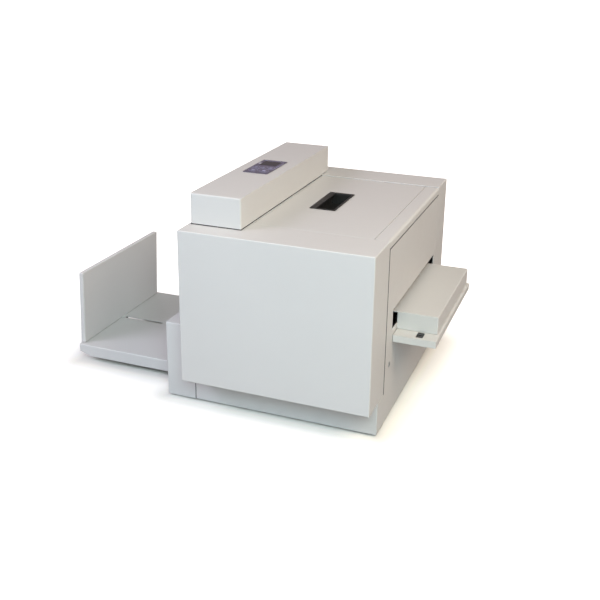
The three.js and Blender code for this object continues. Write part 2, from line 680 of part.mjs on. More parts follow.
// ---- Electrics: the supply on the base, and the power entry with its rocker switch in the rear cover.
function buildElectrics() {
  const supply = { left: 215, right: 330, front: 330, back: 465, top: 60 };
  const supplySides = [supply.left, supply.right, supply.front, supply.back];
  add("power_supply", block(...supplySides, innerFloor, supply.top), zincSteel);

  const face = body.depth + 2;
  const inlet = { left: 279, right: 301, bottom: 93, top: 107 };
  const pocket = [face - 19, face + 1];
  const module = cut(
    join(
      block(entry.left, entry.right, face - 22, body.depth + 1, entry.bottom, entry.top),
      block(entry.left - 3, entry.right + 13, body.depth + fit, face, entry.bottom - 3, entry.top + 3),
    ),
    block(inlet.left, inlet.right, ...pocket, inlet.bottom, inlet.top),
    block(entry.left + 2.6, entry.left + 21.4, face - 16, face + 1, 87, 113),
  );
  // Three contact blades, the middle one lower.
  const blade = (x, z) => block(x - 1, x + 1, face - 20, face - 9, z - 2, z + 2);
  const pins = [blade(283, 100), blade(290, 98), blade(297, 100)];
  add("mains_inlet", join(module, ...pins), blackPlastic);

  // The rocker's front is a shallow V that tips about its middle. At rest its upper half is pressed in: on.
  const rocker = { half: 11.8, bend: 14, tip: 6, centre: 3.5 };
  const tipOf = (side) => {
    const slope = THREE.MathUtils.degToRad(rocker.bend - side * rocker.tip);
    return [rocker.centre + rocker.half * Math.sin(slope), side * rocker.half * Math.cos(slope)];
  };
  const profile = [tipOf(1), [-1, 11.5], [-7, 0], [-1, -11.5], tipOf(-1), [rocker.centre, 0]];
  add("mains_switch", prism("x", profile, -9, 9), blackPlastic, [entry.left + 12, face - 8, 100]);
}

buildBase();
buildFrontCover();
buildRearCover();
buildSidePanels();
buildTopFrame();
buildLid();
buildControlBox();
buildInfeed();
buildDelivery();
buildFrame();
buildTransport();
buildClamp();
buildPress();
buildElectrics();

// The machine's lowest, leftmost and rightmost points put the origin under the middle of the whole.
machine.position.set(-(tray.left + ledge.end) / 2, -(body.depth + 2) / 2, 0);
const part = new THREE.Group();
part.add(machine);
export default part;
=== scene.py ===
"""Looks of the booklet spine squarer: sheet metal, turned parts, moulded plastics, and a plain studio.

Lengths are in metres, in the model's own frame: +X to the infeed side, +Y to the rear, +Z up.
"""

import json
import math

import bmesh
import bpy
from mathutils import Matrix, Vector
from mathutils.geometry import convex_hull_2d, tessellate_polygon

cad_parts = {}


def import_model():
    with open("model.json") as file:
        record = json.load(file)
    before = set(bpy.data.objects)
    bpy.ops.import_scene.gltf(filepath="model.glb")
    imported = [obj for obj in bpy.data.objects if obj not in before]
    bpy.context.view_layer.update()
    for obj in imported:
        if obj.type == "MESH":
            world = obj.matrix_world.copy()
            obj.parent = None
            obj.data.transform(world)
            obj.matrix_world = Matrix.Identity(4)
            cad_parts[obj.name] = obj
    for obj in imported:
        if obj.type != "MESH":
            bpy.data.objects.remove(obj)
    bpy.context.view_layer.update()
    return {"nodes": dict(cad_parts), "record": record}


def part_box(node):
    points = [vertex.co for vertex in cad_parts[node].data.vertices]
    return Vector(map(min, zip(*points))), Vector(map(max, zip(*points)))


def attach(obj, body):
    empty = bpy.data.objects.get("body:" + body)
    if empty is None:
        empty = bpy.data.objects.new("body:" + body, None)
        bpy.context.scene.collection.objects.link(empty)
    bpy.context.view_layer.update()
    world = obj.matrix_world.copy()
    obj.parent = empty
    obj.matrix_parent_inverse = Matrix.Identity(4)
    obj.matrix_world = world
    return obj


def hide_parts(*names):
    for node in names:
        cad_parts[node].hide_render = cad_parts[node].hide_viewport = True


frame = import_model()

MM = 0.001
SHEET = 1.5 * MM
BEND = 2.2 * MM  # outer radius of a bend in sheet metal
BROKEN = 0.25 * MM  # a deburred cut edge
SEAM = 3.2 * MM  # width of the black strip, painted shade, in the seam between the front cover and a side panel
HOOD_LIFT = 1.6 * MM  # thickness of the black strip under the control box's hood, painted shade in the gap there
SHAFT_RADIUS = 5 * MM
FLAT = math.radians(0.5)  # faces that turn by less than this are one face
AXES = "xyz"
ORDER = {"x": (2, 0, 1), "y": (0, 2, 1), "z": (0, 1, 2)}  # where x, y and z stand in (u, v, along)
NODES = frame["nodes"]
COLLECTION = bpy.context.scene.collection


# ---- Materials ----


class Shader:
    """A Principled material, with helpers that add the procedural nodes behind its sockets."""

    def __init__(self, name, color, roughness, metallic=0.0, **sockets):
        self.material = bpy.data.materials.new(name)
        self.material.use_nodes = True
        self.material.diffuse_color = (*color, 1.0)
        self.tree = self.material.node_tree
        self.bsdf = self.tree.nodes["Principled BSDF"]
        self.color = color
        sockets.update(Base_Color=(*color, 1.0), Roughness=roughness, Metallic=metallic)
        self.put(self.bsdf, sockets)
        self.place = self.node("TexCoord").outputs["Object"]
        self.height = None

    def put(self, node, sockets):
        for socket, value in sockets.items():
            node.inputs[socket.replace("_", " ")].default_value = value
        return node

    def node(self, kind, **sockets):
        """A new node, with some of its sockets set."""
        return self.put(self.tree.nodes.new("ShaderNode" + kind), sockets)

    def link(self, out, into):
        self.tree.links.new(out, into)

    def stretched(self, scale):
        """The object's coordinates, scaled differently along each axis."""
        mapping = self.node("Mapping", Scale=scale)
        self.link(self.place, mapping.inputs["Vector"])
        return mapping.outputs["Vector"]

    def noise(self, scale, detail=3.0, place=None):
        texture = self.node("TexNoise", Scale=scale, Detail=detail)
        self.link(place or self.place, texture.inputs["Vector"])
        return texture.outputs["Fac"]

    def cells(self, scale, place=None):
        texture = self.node("TexVoronoi", Scale=scale)
        self.link(place or self.place, texture.inputs["Vector"])
        return texture.outputs["Distance"]

    def fit(self, value, low, high, from_low=0.3, from_high=0.7):
        """Maps a texture's value to the range from low to high."""
        span = self.node("MapRange", From_Min=from_low, From_Max=from_high, To_Min=low, To_Max=high)
        self.link(value, span.inputs["Value"])
        return span.outputs["Result"]

    def tint(self, value, dark, light, from_low=0.3, from_high=0.7):
        """Colours the surface from dark to light shares of its own colour, by a texture's value."""
        ramp = self.node("ValToRGB")
        ends = zip(ramp.color_ramp.elements, (from_low, from_high), (dark, light))
        for end, position, share in ends:
            end.position = position
            end.color = (*(min(c * share, 1.0) for c in self.color), 1.0)
        self.link(value, ramp.inputs["Fac"])
        self.link(ramp.outputs["Color"], self.bsdf.inputs["Base Color"])

    def gloss(self, value, low, high):
        """Varies the roughness from low to high, by a texture's value."""
        self.link(self.fit(value, low, high), self.bsdf.inputs["Roughness"])

    def relief(self, value, strength, distance):
        """Adds one layer of bumps, on top of the layers already there."""
        bump = self.node("Bump", Strength=strength, Distance=distance)
        self.link(value, bump.inputs["Height"])
        if self.height is not None:
            self.link(self.height, bump.inputs["Normal"])
        self.height = bump.outputs["Normal"]
        self.link(self.height, self.bsdf.inputs["Normal"])


def powder_coat(name, color):
    """Sprayed and baked paint: a fine orange peel, and a slow, slight drift of its shade and gloss."""
    s = Shader(name, color, 0.46, IOR=1.5)
    s.tint(s.noise(5.0, 2.0), 0.985, 1.01)
    s.gloss(s.noise(60.0, 4.0), 0.43, 0.49)
    s.relief(s.noise(900.0, 2.0), 0.10, 0.15 * MM)
    s.relief(s.cells(2400.0), 0.05, 0.05 * MM)
    return s.material


def moulded(name, color, roughness=0.5, grain=1500.0):
    """Moulded plastic with a spark-eroded grain and slightly uneven gloss."""
    s = Shader(name, color, roughness, IOR=1.49)
    s.tint(s.noise(60.0, 4.0), 0.85, 1.12)
    s.gloss(s.noise(90.0), roughness - 0.07, roughness + 0.07)
    s.relief(s.cells(grain), 0.25, 0.08 * MM)
    return s.material


def rubbery(name, color):
    """Matt rubber with a ground surface, paler where it has been dusted by paper."""
    s = Shader(name, color, 0.8, IOR=1.5)
    s.tint(s.noise(140.0, 5.0), 0.8, 1.7)
    s.gloss(s.noise(70.0), 0.72, 0.9)
    s.relief(s.noise(1800.0, 3.0), 0.35, 0.12 * MM)
    return s.material


def zinc_plated(name, color):
    """Zinc-plated sheet: a soft spangle in its shade, and rolling lines along it."""
    s = Shader(name, color, 0.36, 1.0)
    s.tint(s.cells(160.0), 0.92, 1.04, 0.0, 0.8)
    s.gloss(s.noise(120.0, 4.0), 0.32, 0.44)
    s.relief(s.noise(60.0, 4.0, s.stretched((1.0, 14.0, 14.0))), 0.08, 0.05 * MM)
    return s.material


def ground(name, color):
    """Ground steel: fine scratches round or along the piece, and a few handling marks."""
    s = Shader(name, color, 0.24, 1.0)
    s.tint(s.noise(30.0, 4.0), 0.9, 1.04)
    s.gloss(s.noise(200.0, 3.0, s.stretched((12.0, 1.0, 12.0))), 0.26, 0.40)
    s.relief(s.noise(400.0, 3.0, s.stretched((1.0, 9.0, 1.0))), 0.06, 0.02 * MM)
    return s.material


def machined(name, color):
    """Milled aluminium with tool marks across it."""
    s = Shader(name, color, 0.34, 1.0)
    s.tint(s.noise(45.0, 3.0), 0.92, 1.04)
    s.gloss(s.noise(150.0, 3.0), 0.28, 0.42)
    s.relief(s.noise(500.0, 2.0, s.stretched((9.0, 1.0, 1.0))), 0.09, 0.03 * MM)
    return s.material


def enamelled(name, color):
    """Black stoved enamel on a motor's laminations."""
    s = Shader(name, color, 0.42)
    s.tint(s.noise(90.0, 4.0), 0.8, 1.3)
    s.gloss(s.noise(60.0), 0.36, 0.5)
    s.relief(s.noise(1100.0, 2.0), 0.16, 0.08 * MM)
    return s.material


def circuit_board(name, color):
    """Solder mask over copper: paler where the copper lies under it."""
    s = Shader(name, color, 0.35, IOR=1.5)
    copper = s.cells(160.0, s.stretched((1.0, 2.5, 1.0)))
    s.tint(copper, 0.7, 1.5, 0.05, 0.5)
    s.relief(copper, 0.2, 0.05 * MM)
    return s.material


def printed_film(name, color):
    """Polyester film printed on its back, with a light texture."""
    s = Shader(name, color, 0.38, IOR=1.6, Coat_Weight=0.25, Coat_Roughness=0.3)
    s.tint(s.noise(90.0, 3.0), 0.93, 1.06)
    s.relief(s.noise(2200.0, 2.0), 0.12, 0.04 * MM)
    return s.material


def window(name, color):
    """A dark polished display window, with dust in its gloss."""
    s = Shader(name, color, 0.07, IOR=1.5, Coat_Weight=0.2, Coat_Roughness=0.04)
    s.tint(s.noise(25.0, 2.0), 0.8, 1.2)
    s.gloss(s.noise(180.0, 4.0), 0.04, 0.14)
    return s.material


FINISH = {
    "painted_steel": powder_coat("powder_coat", (0.655, 0.640, 0.615)),
    "black_plastic": moulded("black_plastic", (0.016, 0.015, 0.014), 0.42),
    "rubber": rubbery("black_rubber", (0.022, 0.022, 0.023)),
    "zinc_steel": zinc_plated("zinc_plated_steel", (0.56, 0.57, 0.58)),
    "ground_steel": ground("ground_steel", (0.60, 0.61, 0.62)),
    "aluminium": machined("milled_aluminium", (0.66, 0.67, 0.68)),
    "motor_case": enamelled("motor_enamel", (0.022, 0.022, 0.025)),
    "supply_case": machined("supply_case", (0.58, 0.59, 0.60)),
    "board_green": circuit_board("solder_mask", (0.012, 0.085, 0.035)),
    "overlay_film": printed_film("overlay_film", (0.115, 0.100, 0.155)),
    "key_film": moulded("key_caps", (0.155, 0.140, 0.200), 0.45, 2200.0),
    "display_glass": window("display_window", (0.010, 0.008, 0.018)),
}
INK = printed_film("printed_ink", (0.42, 0.40, 0.58))
LAMP = moulded("status_lamp", (0.62, 0.60, 0.66), 0.35, 3000.0)
SLOT_OF = {p["node"]: p["material_slot"] for p in frame["record"]["subparts"]}
BODY_OF = {n: b for b, names in frame["record"]["behaviour"]["bodies"].items() for n in names}


# ---- Pieces ----


def new_piece(name, mesh, slot, body, stands_for=(), finish=None):
    """A piece of the machine, with its finish, the body it rides on and the CAD nodes it stands for."""
    piece = bpy.data.objects.new(name, mesh)
    COLLECTION.objects.link(piece)
    mesh.materials.clear()
    mesh.materials.append(finish or FINISH[slot])
    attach(piece, body)
    if stands_for:
        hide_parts(*stands_for)
    return piece


def finished(bm, name, slot, body, stands_for=(), finish=None):
    """A new piece from a bmesh, with its faces turned outwards."""
    bmesh.ops.recalc_face_normals(bm, faces=bm.faces)
    mesh = bpy.data.meshes.new(name)
    bm.to_mesh(mesh)
    bm.free()
    return new_piece(name, mesh, slot, body, stands_for, finish)


def join(bm, rings):
    """Joins each ring of points to the next with faces."""
    for a, b in zip(rings, rings[1:]):
        for i in range(len(a)):
            j = (i + 1) % len(a)
            bm.faces.new((a[i], a[j], b[j], b[i]))


def even_shading(piece):
    """Smooth shading over rounded edges, with the flat faces kept flat."""
    piece.data.shade_smooth()
    even = piece.modifiers.new("even_shading", "WEIGHTED_NORMAL")
    even.keep_sharp = True
    even.weight = 100


def smooth(piece, angle=30.0):
    """Smooth shading, with an edge wherever the surface turns by more than the angle."""
    piece.data.shade_smooth()
    piece.data.set_sharp_from_angle(angle=math.radians(angle))
    return piece


def bevelled(piece, width):
    """Breaks every edge of a piece that turns by more than 60 degrees."""
    edges = piece.modifiers.new("broken_edges", "BEVEL")
    edges.limit_method = "ANGLE"
    edges.angle_limit = math.radians(60)
    edges.width = width
    edges.segments = 2
    even_shading(piece)
    return piece


def radius_of(node):
    """The radius of a round node that stands upright or lies along Y."""
    return (high(node).x - low(node).x) / 2


def low(node):
    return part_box(node)[0]


def high(node):
    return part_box(node)[1]


def middle(node):
    return (low(node) + high(node)) / 2


def levels(node, axis, radius):
    """The places along a round node's axis at which its outline turns at the given radius."""
    along, (u, v) = AXES.index(axis), [i for i in range(3) if AXES[i] != axis]
    centre = middle(node)
    places = set()
    for vertex in NODES[node].data.vertices:
        if abs(math.hypot(vertex.co[u] - centre[u], vertex.co[v] - centre[v]) - radius) < 0.05 * MM:
            places.add(round(vertex.co[along], 5))
    return sorted(places)


def reach_across(face, edge):
    """How far a face reaches across one of its edges."""
    along = (edge.verts[1].co - edge.verts[0].co).normalized()
    across = along.cross(face.normal)
    reach = [across.dot(v.co) for v in face.verts]
    return max(reach) - min(reach)


def has_room(face, edge, reach):
    """Whether a face goes on for at least that reach, all along one of its edges."""
    loop = next(corner for corner in face.loops if corner.edge == edge)
    a, b = loop.vert.co, loop.link_loop_next.vert.co
    inward = face.normal.cross((b - a).normalized()) * reach
    spacing = 8 * MM
    count = max(5, int((b - a).length / spacing))
    places = (0.02 + 0.96 * i / (count - 1) for i in range(count))  # just inside the edge's two ends
    return all(bmesh.geometry.intersect_face_point(face, a.lerp(b, t) + inward) for t in places)


def is_strip(face):
    """Whether a face is about as narrow as the cut edge of a sheet."""
    width = 2 * face.calc_area() / face.calc_perimeter()
    return width < 1.2 * SHEET


def is_sharp(edge):
    """Whether an edge is a bend or a corner between two faces."""
    return len(edge.link_faces) == 2 and edge.calc_face_angle(0.0) >= math.radians(40)


def inner_planes(face, flat):
    """The places, keyed by axis, of a flat face's inner corners and of the ends of its round holes.

    Inner corners wider than 115 degrees are taken for points of one round.
    """
    planes, rim = {}, []
    for corner in face.loops:
        inner = not corner.is_convex
        round_rim = inner and corner.calc_angle() > math.radians(115)
        if inner and not round_rim:
            for i in flat:
                planes[i, round(corner.vert.co[i], 5)] = corner.vert.co[i]
        if round_rim:
            rim.append(corner.vert.co)
        elif rim:
            for i in flat:
                for place in (min(p[i] for p in rim), max(p[i] for p in rim)):
                    planes[i, round(place, 5)] = place
            rim = []
    return planes


def divide(bm, margin):
    """Cuts each flat face that has inner corners or round holes along its own axes, into pieces without them.

    The cut edge of a sheet, a narrow strip that may turn corners, stays whole. So does a margin at the
    face's ends, because the bends there need the room.
    """
    for face in bm.faces[:]:
        if is_strip(face):
            continue
        steepest = max(range(3), key=lambda i: abs(face.normal[i]))
        planes = inner_planes(face, [i for i in range(3) if i != steepest])
        pieces = [face]
        ends = [(min(v.co[i] for v in face.verts), max(v.co[i] for v in face.verts)) for i in range(3)]
        for (i, _), place in planes.items():
            if not ends[i][0] + margin < place < ends[i][1] - margin:
                continue
            normal = Vector([float(k == i) for k in range(3)])
            point = normal * place
            whole = list({e for f in pieces for e in (f, *f.edges, *f.verts)})
            cut = bmesh.ops.bisect_plane(bm, geom=whole, dist=1e-6, plane_co=point, plane_no=normal)["geom"]
            pieces = [g for g in cut if isinstance(g, bmesh.types.BMFace)]


def formed(node, bend=BEND, broken=BROKEN, segments=4, splits=()):
    """A sheet-metal or moulded node with its bends rounded and its cut edges broken.

    splits holds (axis, place) pairs, at which a long bend changes to a cut edge.
    """
    mesh = NODES[node].data.copy()
    bm = bmesh.new()
    bm.from_mesh(mesh)
    bmesh.ops.remove_doubles(bm, verts=bm.verts, dist=1e-6)
    bmesh.ops.dissolve_limit(bm, angle_limit=FLAT, verts=bm.verts, edges=bm.edges)
    for axis, place in splits:
        normal = Vector([float(a == axis) for a in AXES])
        everything = bm.verts[:] + bm.edges[:] + bm.faces[:]
        bmesh.ops.bisect_plane(bm, geom=everything, plane_co=normal * place, plane_no=normal)
    bm.normal_update()
    weight = bm.edges.layers.float.new("bevel_weight_edge")
    for edge in filter(is_sharp, bm.edges):
        radius = bend if edge.is_convex else bend - SHEET
        flat_beside = 1.9 * radius
        is_bend = radius > broken and all(has_room(face, edge, flat_beside) for face in edge.link_faces)
        room = min(reach_across(face, edge) for face in edge.link_faces)
        edge[weight] = (radius if is_bend else min(broken, 0.2 * room)) / bend
    divide(bm, bend)
    bm.normal_update()
    for edge in bm.edges:
        if not is_sharp(edge):
            edge[weight] = 0.0
    bm.to_mesh(mesh)
    bm.free()
    piece = new_piece(node + "_formed", mesh, SLOT_OF[node], BODY_OF[node], [node])
    rounding = piece.modifiers.new("rounding", "BEVEL")
    rounding.limit_method = "WEIGHT"
    rounding.width = bend
    rounding.segments = segments
    rounding.use_clamp_overlap = False
    rounding.miter_outer = "MITER_ARC"
    weld = piece.modifiers.new("weld", "WELD")
    weld.merge_threshold = 0.015 * MM
    even_shading(piece)
    return piece


def revolved(bm, axis, centre, profile, sides):
    """Joined rings of points round an axis, one for each (place along the axis, radius) pair."""
    turns = [2 * math.pi * i / sides for i in range(sides)]
    rings = []
    for along, radius in profile:
        reach = radius if callable(radius) else lambda turn, fixed=radius: fixed
        rings.append([bm.verts.new(placed(axis, centre, along, reach(turn), turn)) for turn in turns])
    join(bm, rings)
    return rings


def placed(axis, centre, along, radius, angle):
    """A point round an axis through centre. The angle turns about the axis by the right-hand rule."""
    u, v = radius * math.cos(angle), radius * math.sin(angle)
    if axis == "x":
        return Vector((along, centre[1] + u, centre[2] + v))
    if axis == "y":
        return Vector((centre[0] + v, along, centre[2] + u))
    return Vector((centre[0] + u, centre[1] + v, along))


def turned(name, axis, centre, profile, slot, body, stands_for=(), sides=64, angle=30.0, finish=None):
    """A lathe piece, closed at both ends.

    profile holds (place along the axis, radius) pairs, and a radius may be a function of the angle.
    """
    bm = bmesh.new()
    rings = revolved(bm, axis, centre, profile, sides)
    bm.faces.new(rings[0])
    bm.faces.new(rings[-1])
    return smooth(finished(bm, name, slot, body, stands_for, finish), angle)


def collar(name, axis, centre, start, end, inner, outer, slot, body, sides=48):
    """A ring with broken edges, open through its middle."""
    edge = min(0.3 * MM, (end - start) / 4)
    rim = outer - edge
    outside = [(start, rim), (start + edge, outer), (end - edge, outer), (end, rim)]
    section = [(start, inner), *outside, (end, inner)]
    bm = bmesh.new()
    rings = revolved(bm, axis, centre, section, sides)
    join(bm, [rings[-1], rings[0]])
    smooth(finished(bm, name, slot, body))


def barrel(start, end, radius, edge=0.5 * MM):
    """The profile of a plain round length with chamfered ends."""
    return [(start, radius - edge), (start + edge, radius), (end - edge, radius), (end, radius - edge)]


def shaft(name, axis, centre, start, end, radius, body, stands_for=()):
    """A ground steel length with chamfered ends."""
    turned(name, axis, centre, barrel(start, end, radius), "ground_steel", body, stands_for)


def hexagon(across_flats):
    """The radius of a hexagon, as a function of the angle."""
    sixth = math.pi / 3
    return lambda turn: across_flats / 2 / math.cos((turn + sixth / 2) % sixth - sixth / 2)


def crossed(reach=2.2 * MM, half_width=0.5 * MM):
    """The radius of a cross-shaped recess, as a function of the angle."""
    quarter = math.pi / 2

    def radius(turn):
        off = abs(math.sin((turn + quarter / 2) % quarter - quarter / 2))
        return min(reach, half_width / max(off, 1e-6))

    return radius


def slotted(reach, half_width):
    """The radius of a screwdriver slot, as a function of the angle."""
    return lambda turn: min(reach, half_width / max(abs(math.sin(turn)), 1e-6))


def fluted(radius, depth, count):
    """The radius of a round with flutes or teeth cut into it, as a function of the angle."""
    return lambda turn: radius - depth * max(0.0, math.cos(count * turn)) ** 0.6


def chamfered_square(half, chamfer):
    """The radius of a square with cut corners, as a function of the angle."""
    quarter = math.pi / 2
    diagonal = (2 * half - chamfer) / math.sqrt(2)

    def radius(turn):
        side = (turn + quarter / 2) % quarter - quarter / 2
        corner = turn % quarter - quarter / 2
        return min(half / math.cos(side), diagonal / math.cos(corner))

    return radius


def threaded(name, axis, centre, start, end, radius, depth, pitch, starts, body, stands_for):
    """A right-hand trapezoidal thread, of rings whose points lie in or out by their place on the helix."""
    steps_per_pitch = 8
    count = int((end - start) / pitch * steps_per_pitch)

    def cut_depth(along, turn):
        phase = (along / pitch - starts * turn / (2 * math.pi)) % 1.0
        flank = min(max((abs(phase - 0.5) - 0.15) / 0.14, 0.0), 1.0)
        near_end = min(along - start, end - along)
        return depth * flank * min(1.0, near_end / pitch)  # the thread fades out over one pitch

    profile = []
    for k in range(count + 1):
        along = start + (end - start) * k / count
        profile.append((along, lambda turn, along=along: radius - cut_depth(along, turn)))
    turned(name, axis, centre, profile, "ground_steel", body, stands_for, 36, 50.0)


def prism(name, axis, outlines, start, end, slot, body, stands_for=(), finish=None, edge=0.0):
    """A piece of one outline, with holes if more outlines follow it, between two places along an axis.

    An outline's points give the other two coordinates, in x, y, z order.
    """
    bm = bmesh.new()
    layers = []
    for along in (start, end):
        made = []
        for outline in outlines:
            made.append([bm.verts.new([(u, v, along)[i] for i in ORDER[axis]]) for u, v in outline])
        layers.append(made)
    triangles = tessellate_polygon([[Vector((u, v, 0.0)) for u, v in outline] for outline in outlines])
    for layer in layers:
        points = [vertex for outline in layer for vertex in outline]
        for triangle in triangles:
            bm.faces.new([points[i] for i in triangle])
    for sides in zip(*layers):
        join(bm, sides)
    bmesh.ops.recalc_face_normals(bm, faces=bm.faces)
    bmesh.ops.dissolve_limit(bm, angle_limit=FLAT, verts=bm.verts, edges=bm.edges)
    piece = finished(bm, name, slot, body, stands_for, finish)
    return bevelled(piece, edge) if edge else smooth(piece)


def circle(x, y, radius, sides=48):
    turns = [2 * math.pi * i / sides for i in range(sides)]
    return [(x + radius * math.cos(turn), y + radius * math.sin(turn)) for turn in turns]


def rounded(x0, x1, y0, y1, radius, steps=6):
    """The outline of a rectangle with round corners."""
    left, right, front, back = x0 + radius, x1 - radius, y0 + radius, y1 - radius
    outline = []
    for quarter, (x, y) in enumerate(((right, back), (left, back), (left, front), (right, front))):
        for i in range(steps + 1):
            turn = math.pi / 2 * (quarter + i / steps)
            outline.append((x + radius * math.cos(turn), y + radius * math.sin(turn)))
    return outline


def ribbon(points, width):
    """The outline of a line of the given width along some points."""
    sides = ([], [])
    for i, point in enumerate(points):
        before, after = points[max(i - 1, 0)], points[min(i + 1, len(points) - 1)]
        along = Vector((after[0] - before[0], after[1] - before[1])).normalized()
        for side, sign in zip(sides, (1, -1)):
            side.append((point[0] - sign * along.y * width / 2, point[1] + sign * along.x * width / 2))
    return sides[0] + sides[1][::-1]


def block(name, lowest, highest, slot, body, stands_for=(), edge=0.4 * MM, corner=None, finish=None):
    """A moulded or machined block: corners rounded seen from above, and every edge broken."""
    outline = rounded(lowest[0], highest[0], lowest[1], highest[1], corner or edge)
    return prism(name, "z", [outline], lowest[2], highest[2], slot, body, stands_for, finish, edge)


def screw(name, place, facing, body, radius=3.2 * MM, height=1.7 * MM, recess=None, stands_for=()):
    """A screw head with its recess, on a surface at place, facing along +x, -x, +y, -y, +z or -z."""
    sign, axis = (1 if facing[0] == "+" else -1), facing[1]
    base = place[AXES.index(axis)]
    recess = recess or hexagon(0.95 * radius)
    profile = [
        (-0.3 * MM, 0.9 * radius),
        (0.0, radius),
        (0.55 * height, radius),
        (0.85 * height, 0.86 * radius),
        (height, 0.68 * radius),
        (height, recess),
        (0.3 * height, recess),
    ]
    profile = [(base + sign * along, width) for along, width in profile]
    turned(name, axis, place, profile, "zinc_steel", body, stands_for, 48, 28.0)


# ---- Sheet metal and moulded shells ----


def shells():
    """Every folded sheet, with the larger radii where the real pieces have them."""
    plinth_front, plinth_back = low("base_pan").y, high("base_pan").y
    outside = low("infeed_ledge").x
    clear = 1 * MM  # the covers' open bottoms start this far before the plinth
    formed("front_cover", splits=[("y", plinth_front - clear)])
    formed("rear_cover", splits=[("y", plinth_back + clear)])
    lift_rim(formed("control_box", bend=3.0 * MM), HOOD_LIFT)
    formed("top_frame", bend=5.5 * MM, segments=6)
    formed("base_pan", bend=1.6 * MM)
    formed("infeed_deck", splits=[("x", outside)])
    formed("lid_grip", bend=1.8 * MM)
    for node in ("top_lid", "right_side_panel", "left_side_panel", "delivery_housing", "delivery_tray"):
        formed(node)
    for node in ("delivery_stop", "infeed_ledge", "outfeed_deck", "control_floor", "stop_gate"):
        formed(node)
    for node in ("frame_plate_front", "frame_plate_rear", "infeed_nip_carrier", "outfeed_nip_carrier"):
        formed(node, bend=1.0 * MM)
    for node in ("hinge_pin_front", "hinge_pin_rear", "upper_jaw", "lower_jaw", "press_carriage"):
        formed(node, bend=1.0 * MM, broken=0.4 * MM)


def lift_rim(piece, rise):
    """Shortens a hood from below, so that the black strip it stands on shows, as painted shade in the gap
    under it.
    """
    corners = piece.data.vertices
    rim = min(v.co.z for v in corners) + 2 * SHEET
    for vertex in corners:
        if vertex.co.z < rim:
            vertex.co.z += rise


def seam_shade_strips():
    """Black strips in the rubber finish, painted shade in the seams: round the side panels, beside the base
    pan and under the control box's hood.
    """
    proud = 0.15 * MM  # how far the panels' strips stand out of the faces
    base = BODY_OF["top_frame"]
    seam, end, bottom = high("front_cover").y, low("rear_cover").y, low("front_cover").z
    for side in ("left", "right"):
        panel_low, panel_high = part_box(f"{side}_side_panel")
        left = panel_high.x + proud - SHEET if side == "right" else panel_low.x - proud
        right, top = left + SHEET, panel_high.z
        strips = {
            "top": ((left, seam + SEAM, top), (right, end - 0.2 * MM, top + 1.6 * MM)),
            "front": ((left, seam + 0.1 * MM, bottom), (right, seam + SEAM, top)),
        }
        # Painted shade: black strips fill the gaps above and in front of each side panel.
        for place, corners in strips.items():
            block(f"panel_seam_shade_{side}_{place}", *corners, "rubber", base, edge=0.2 * MM)

    pan_low, pan_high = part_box("base_pan")
    bead = Vector((0.5 * MM, 0.1 * MM, 0.0))
    joint = Vector((pan_low.x - 0.2 * MM, pan_low.y, pan_low.z + 0.5 * MM))
    end_of_joint = Vector((joint.x, joint.y + SHEET, pan_high.z - 0.5 * MM))
    # Painted shade: a black strip in the joint between the delivery housing and the base pan.
    block("base_gasket", joint - bead, end_of_joint + bead, "rubber", base, edge=0.1 * MM)

    hood_low, hood_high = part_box("control_box")
    back = 0.3 * MM  # how far behind the hood's faces its black strip of painted shade lies
    inset = back + SHEET / 2
    left, right, front = hood_low.x + inset, hood_high.x - inset, hood_low.y + inset
    path = [(right, end - back), (right, front), (left, front), (left, end - back)]
    bottom = high("front_cover").z + 0.05 * MM
    # Painted shade: a black strip in the gap under the control box's hood.
    prism("hood_gasket", "z", [ribbon(path, SHEET)], bottom, hood_low.z + HOOD_LIFT, "rubber", base)


def feet():
    """Moulded rubber feet: a chamfered rim, and a well underneath for the screw."""
    for node in ("foot_front_left", "foot_front_right", "foot_rear_left", "foot_rear_right"):
        floor, top, radius = low(node).z, high(node).z, radius_of(node)
        profile = [
            (floor + 1.8 * MM, 3.4 * MM),
            (floor + 1.2 * MM, 4.6 * MM),
            (floor, 5.2 * MM),
            (floor, radius - 1.4 * MM),
            (floor + 0.5 * MM, radius - 0.5 * MM),
            (floor + 1.4 * MM, radius),
            (top - 0.5 * MM, radius),
            (top, radius - 0.5 * MM),
        ]
        turned(node + "_moulded", "z", middle(node), profile, "rubber", BODY_OF[node], [node])


def cover_screws():
    """Screws that hold the panels and covers, on the right, the left and the rear."""
    node = "side_panel_screw"
    radius = (high(node).y - low(node).y) / 2
    face = Vector((high(node).x - 1.6 * MM, middle(node).y, middle(node).z))
    recess = slotted(0.8 * radius, 0.6 * MM)
    screw(node + "_head", face, "+x", BODY_OF[node], radius, 1.6 * MM, recess, [node])

    base = BODY_OF["left_side_panel"]
    panel_low, panel_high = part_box("left_side_panel")
    for end, y in (("front", panel_low.y + 60 * MM), ("rear", panel_high.y - 50 * MM)):
        place = (panel_low.x, y, panel_high.z - 14 * MM)
        screw(f"left_panel_screw_{end}", place, "-x", base, recess=crossed())
    cover_low, cover_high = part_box("rear_cover")
    for side, x in (("left", cover_low.x + 18 * MM), ("right", cover_high.x - 18 * MM)):
        for level, z in (("low", cover_low.z + 16 * MM), ("high", cover_high.z - 40 * MM)):
            screw(f"rear_cover_screw_{side}_{level}", (x, cover_high.y, z), "+y", base, recess=crossed())
    housing_low, housing_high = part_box("delivery_housing")
    for end, y in (("front", housing_low.y + 24 * MM), ("rear", housing_high.y - 24 * MM)):
        place = (housing_low.x, y, housing_high.z - 16 * MM)
        screw(f"housing_screw_{end}", place, "-x", base, recess=crossed())


# ---- Rollers, screws, rods and belts ----


# Along Y: the middles of the retaining rings, just inside the two frame plates.
RING_PLACES = {"front": high("frame_plate_front").y + 1.2 * MM, "rear": low("frame_plate_rear").y - 1.2 * MM}


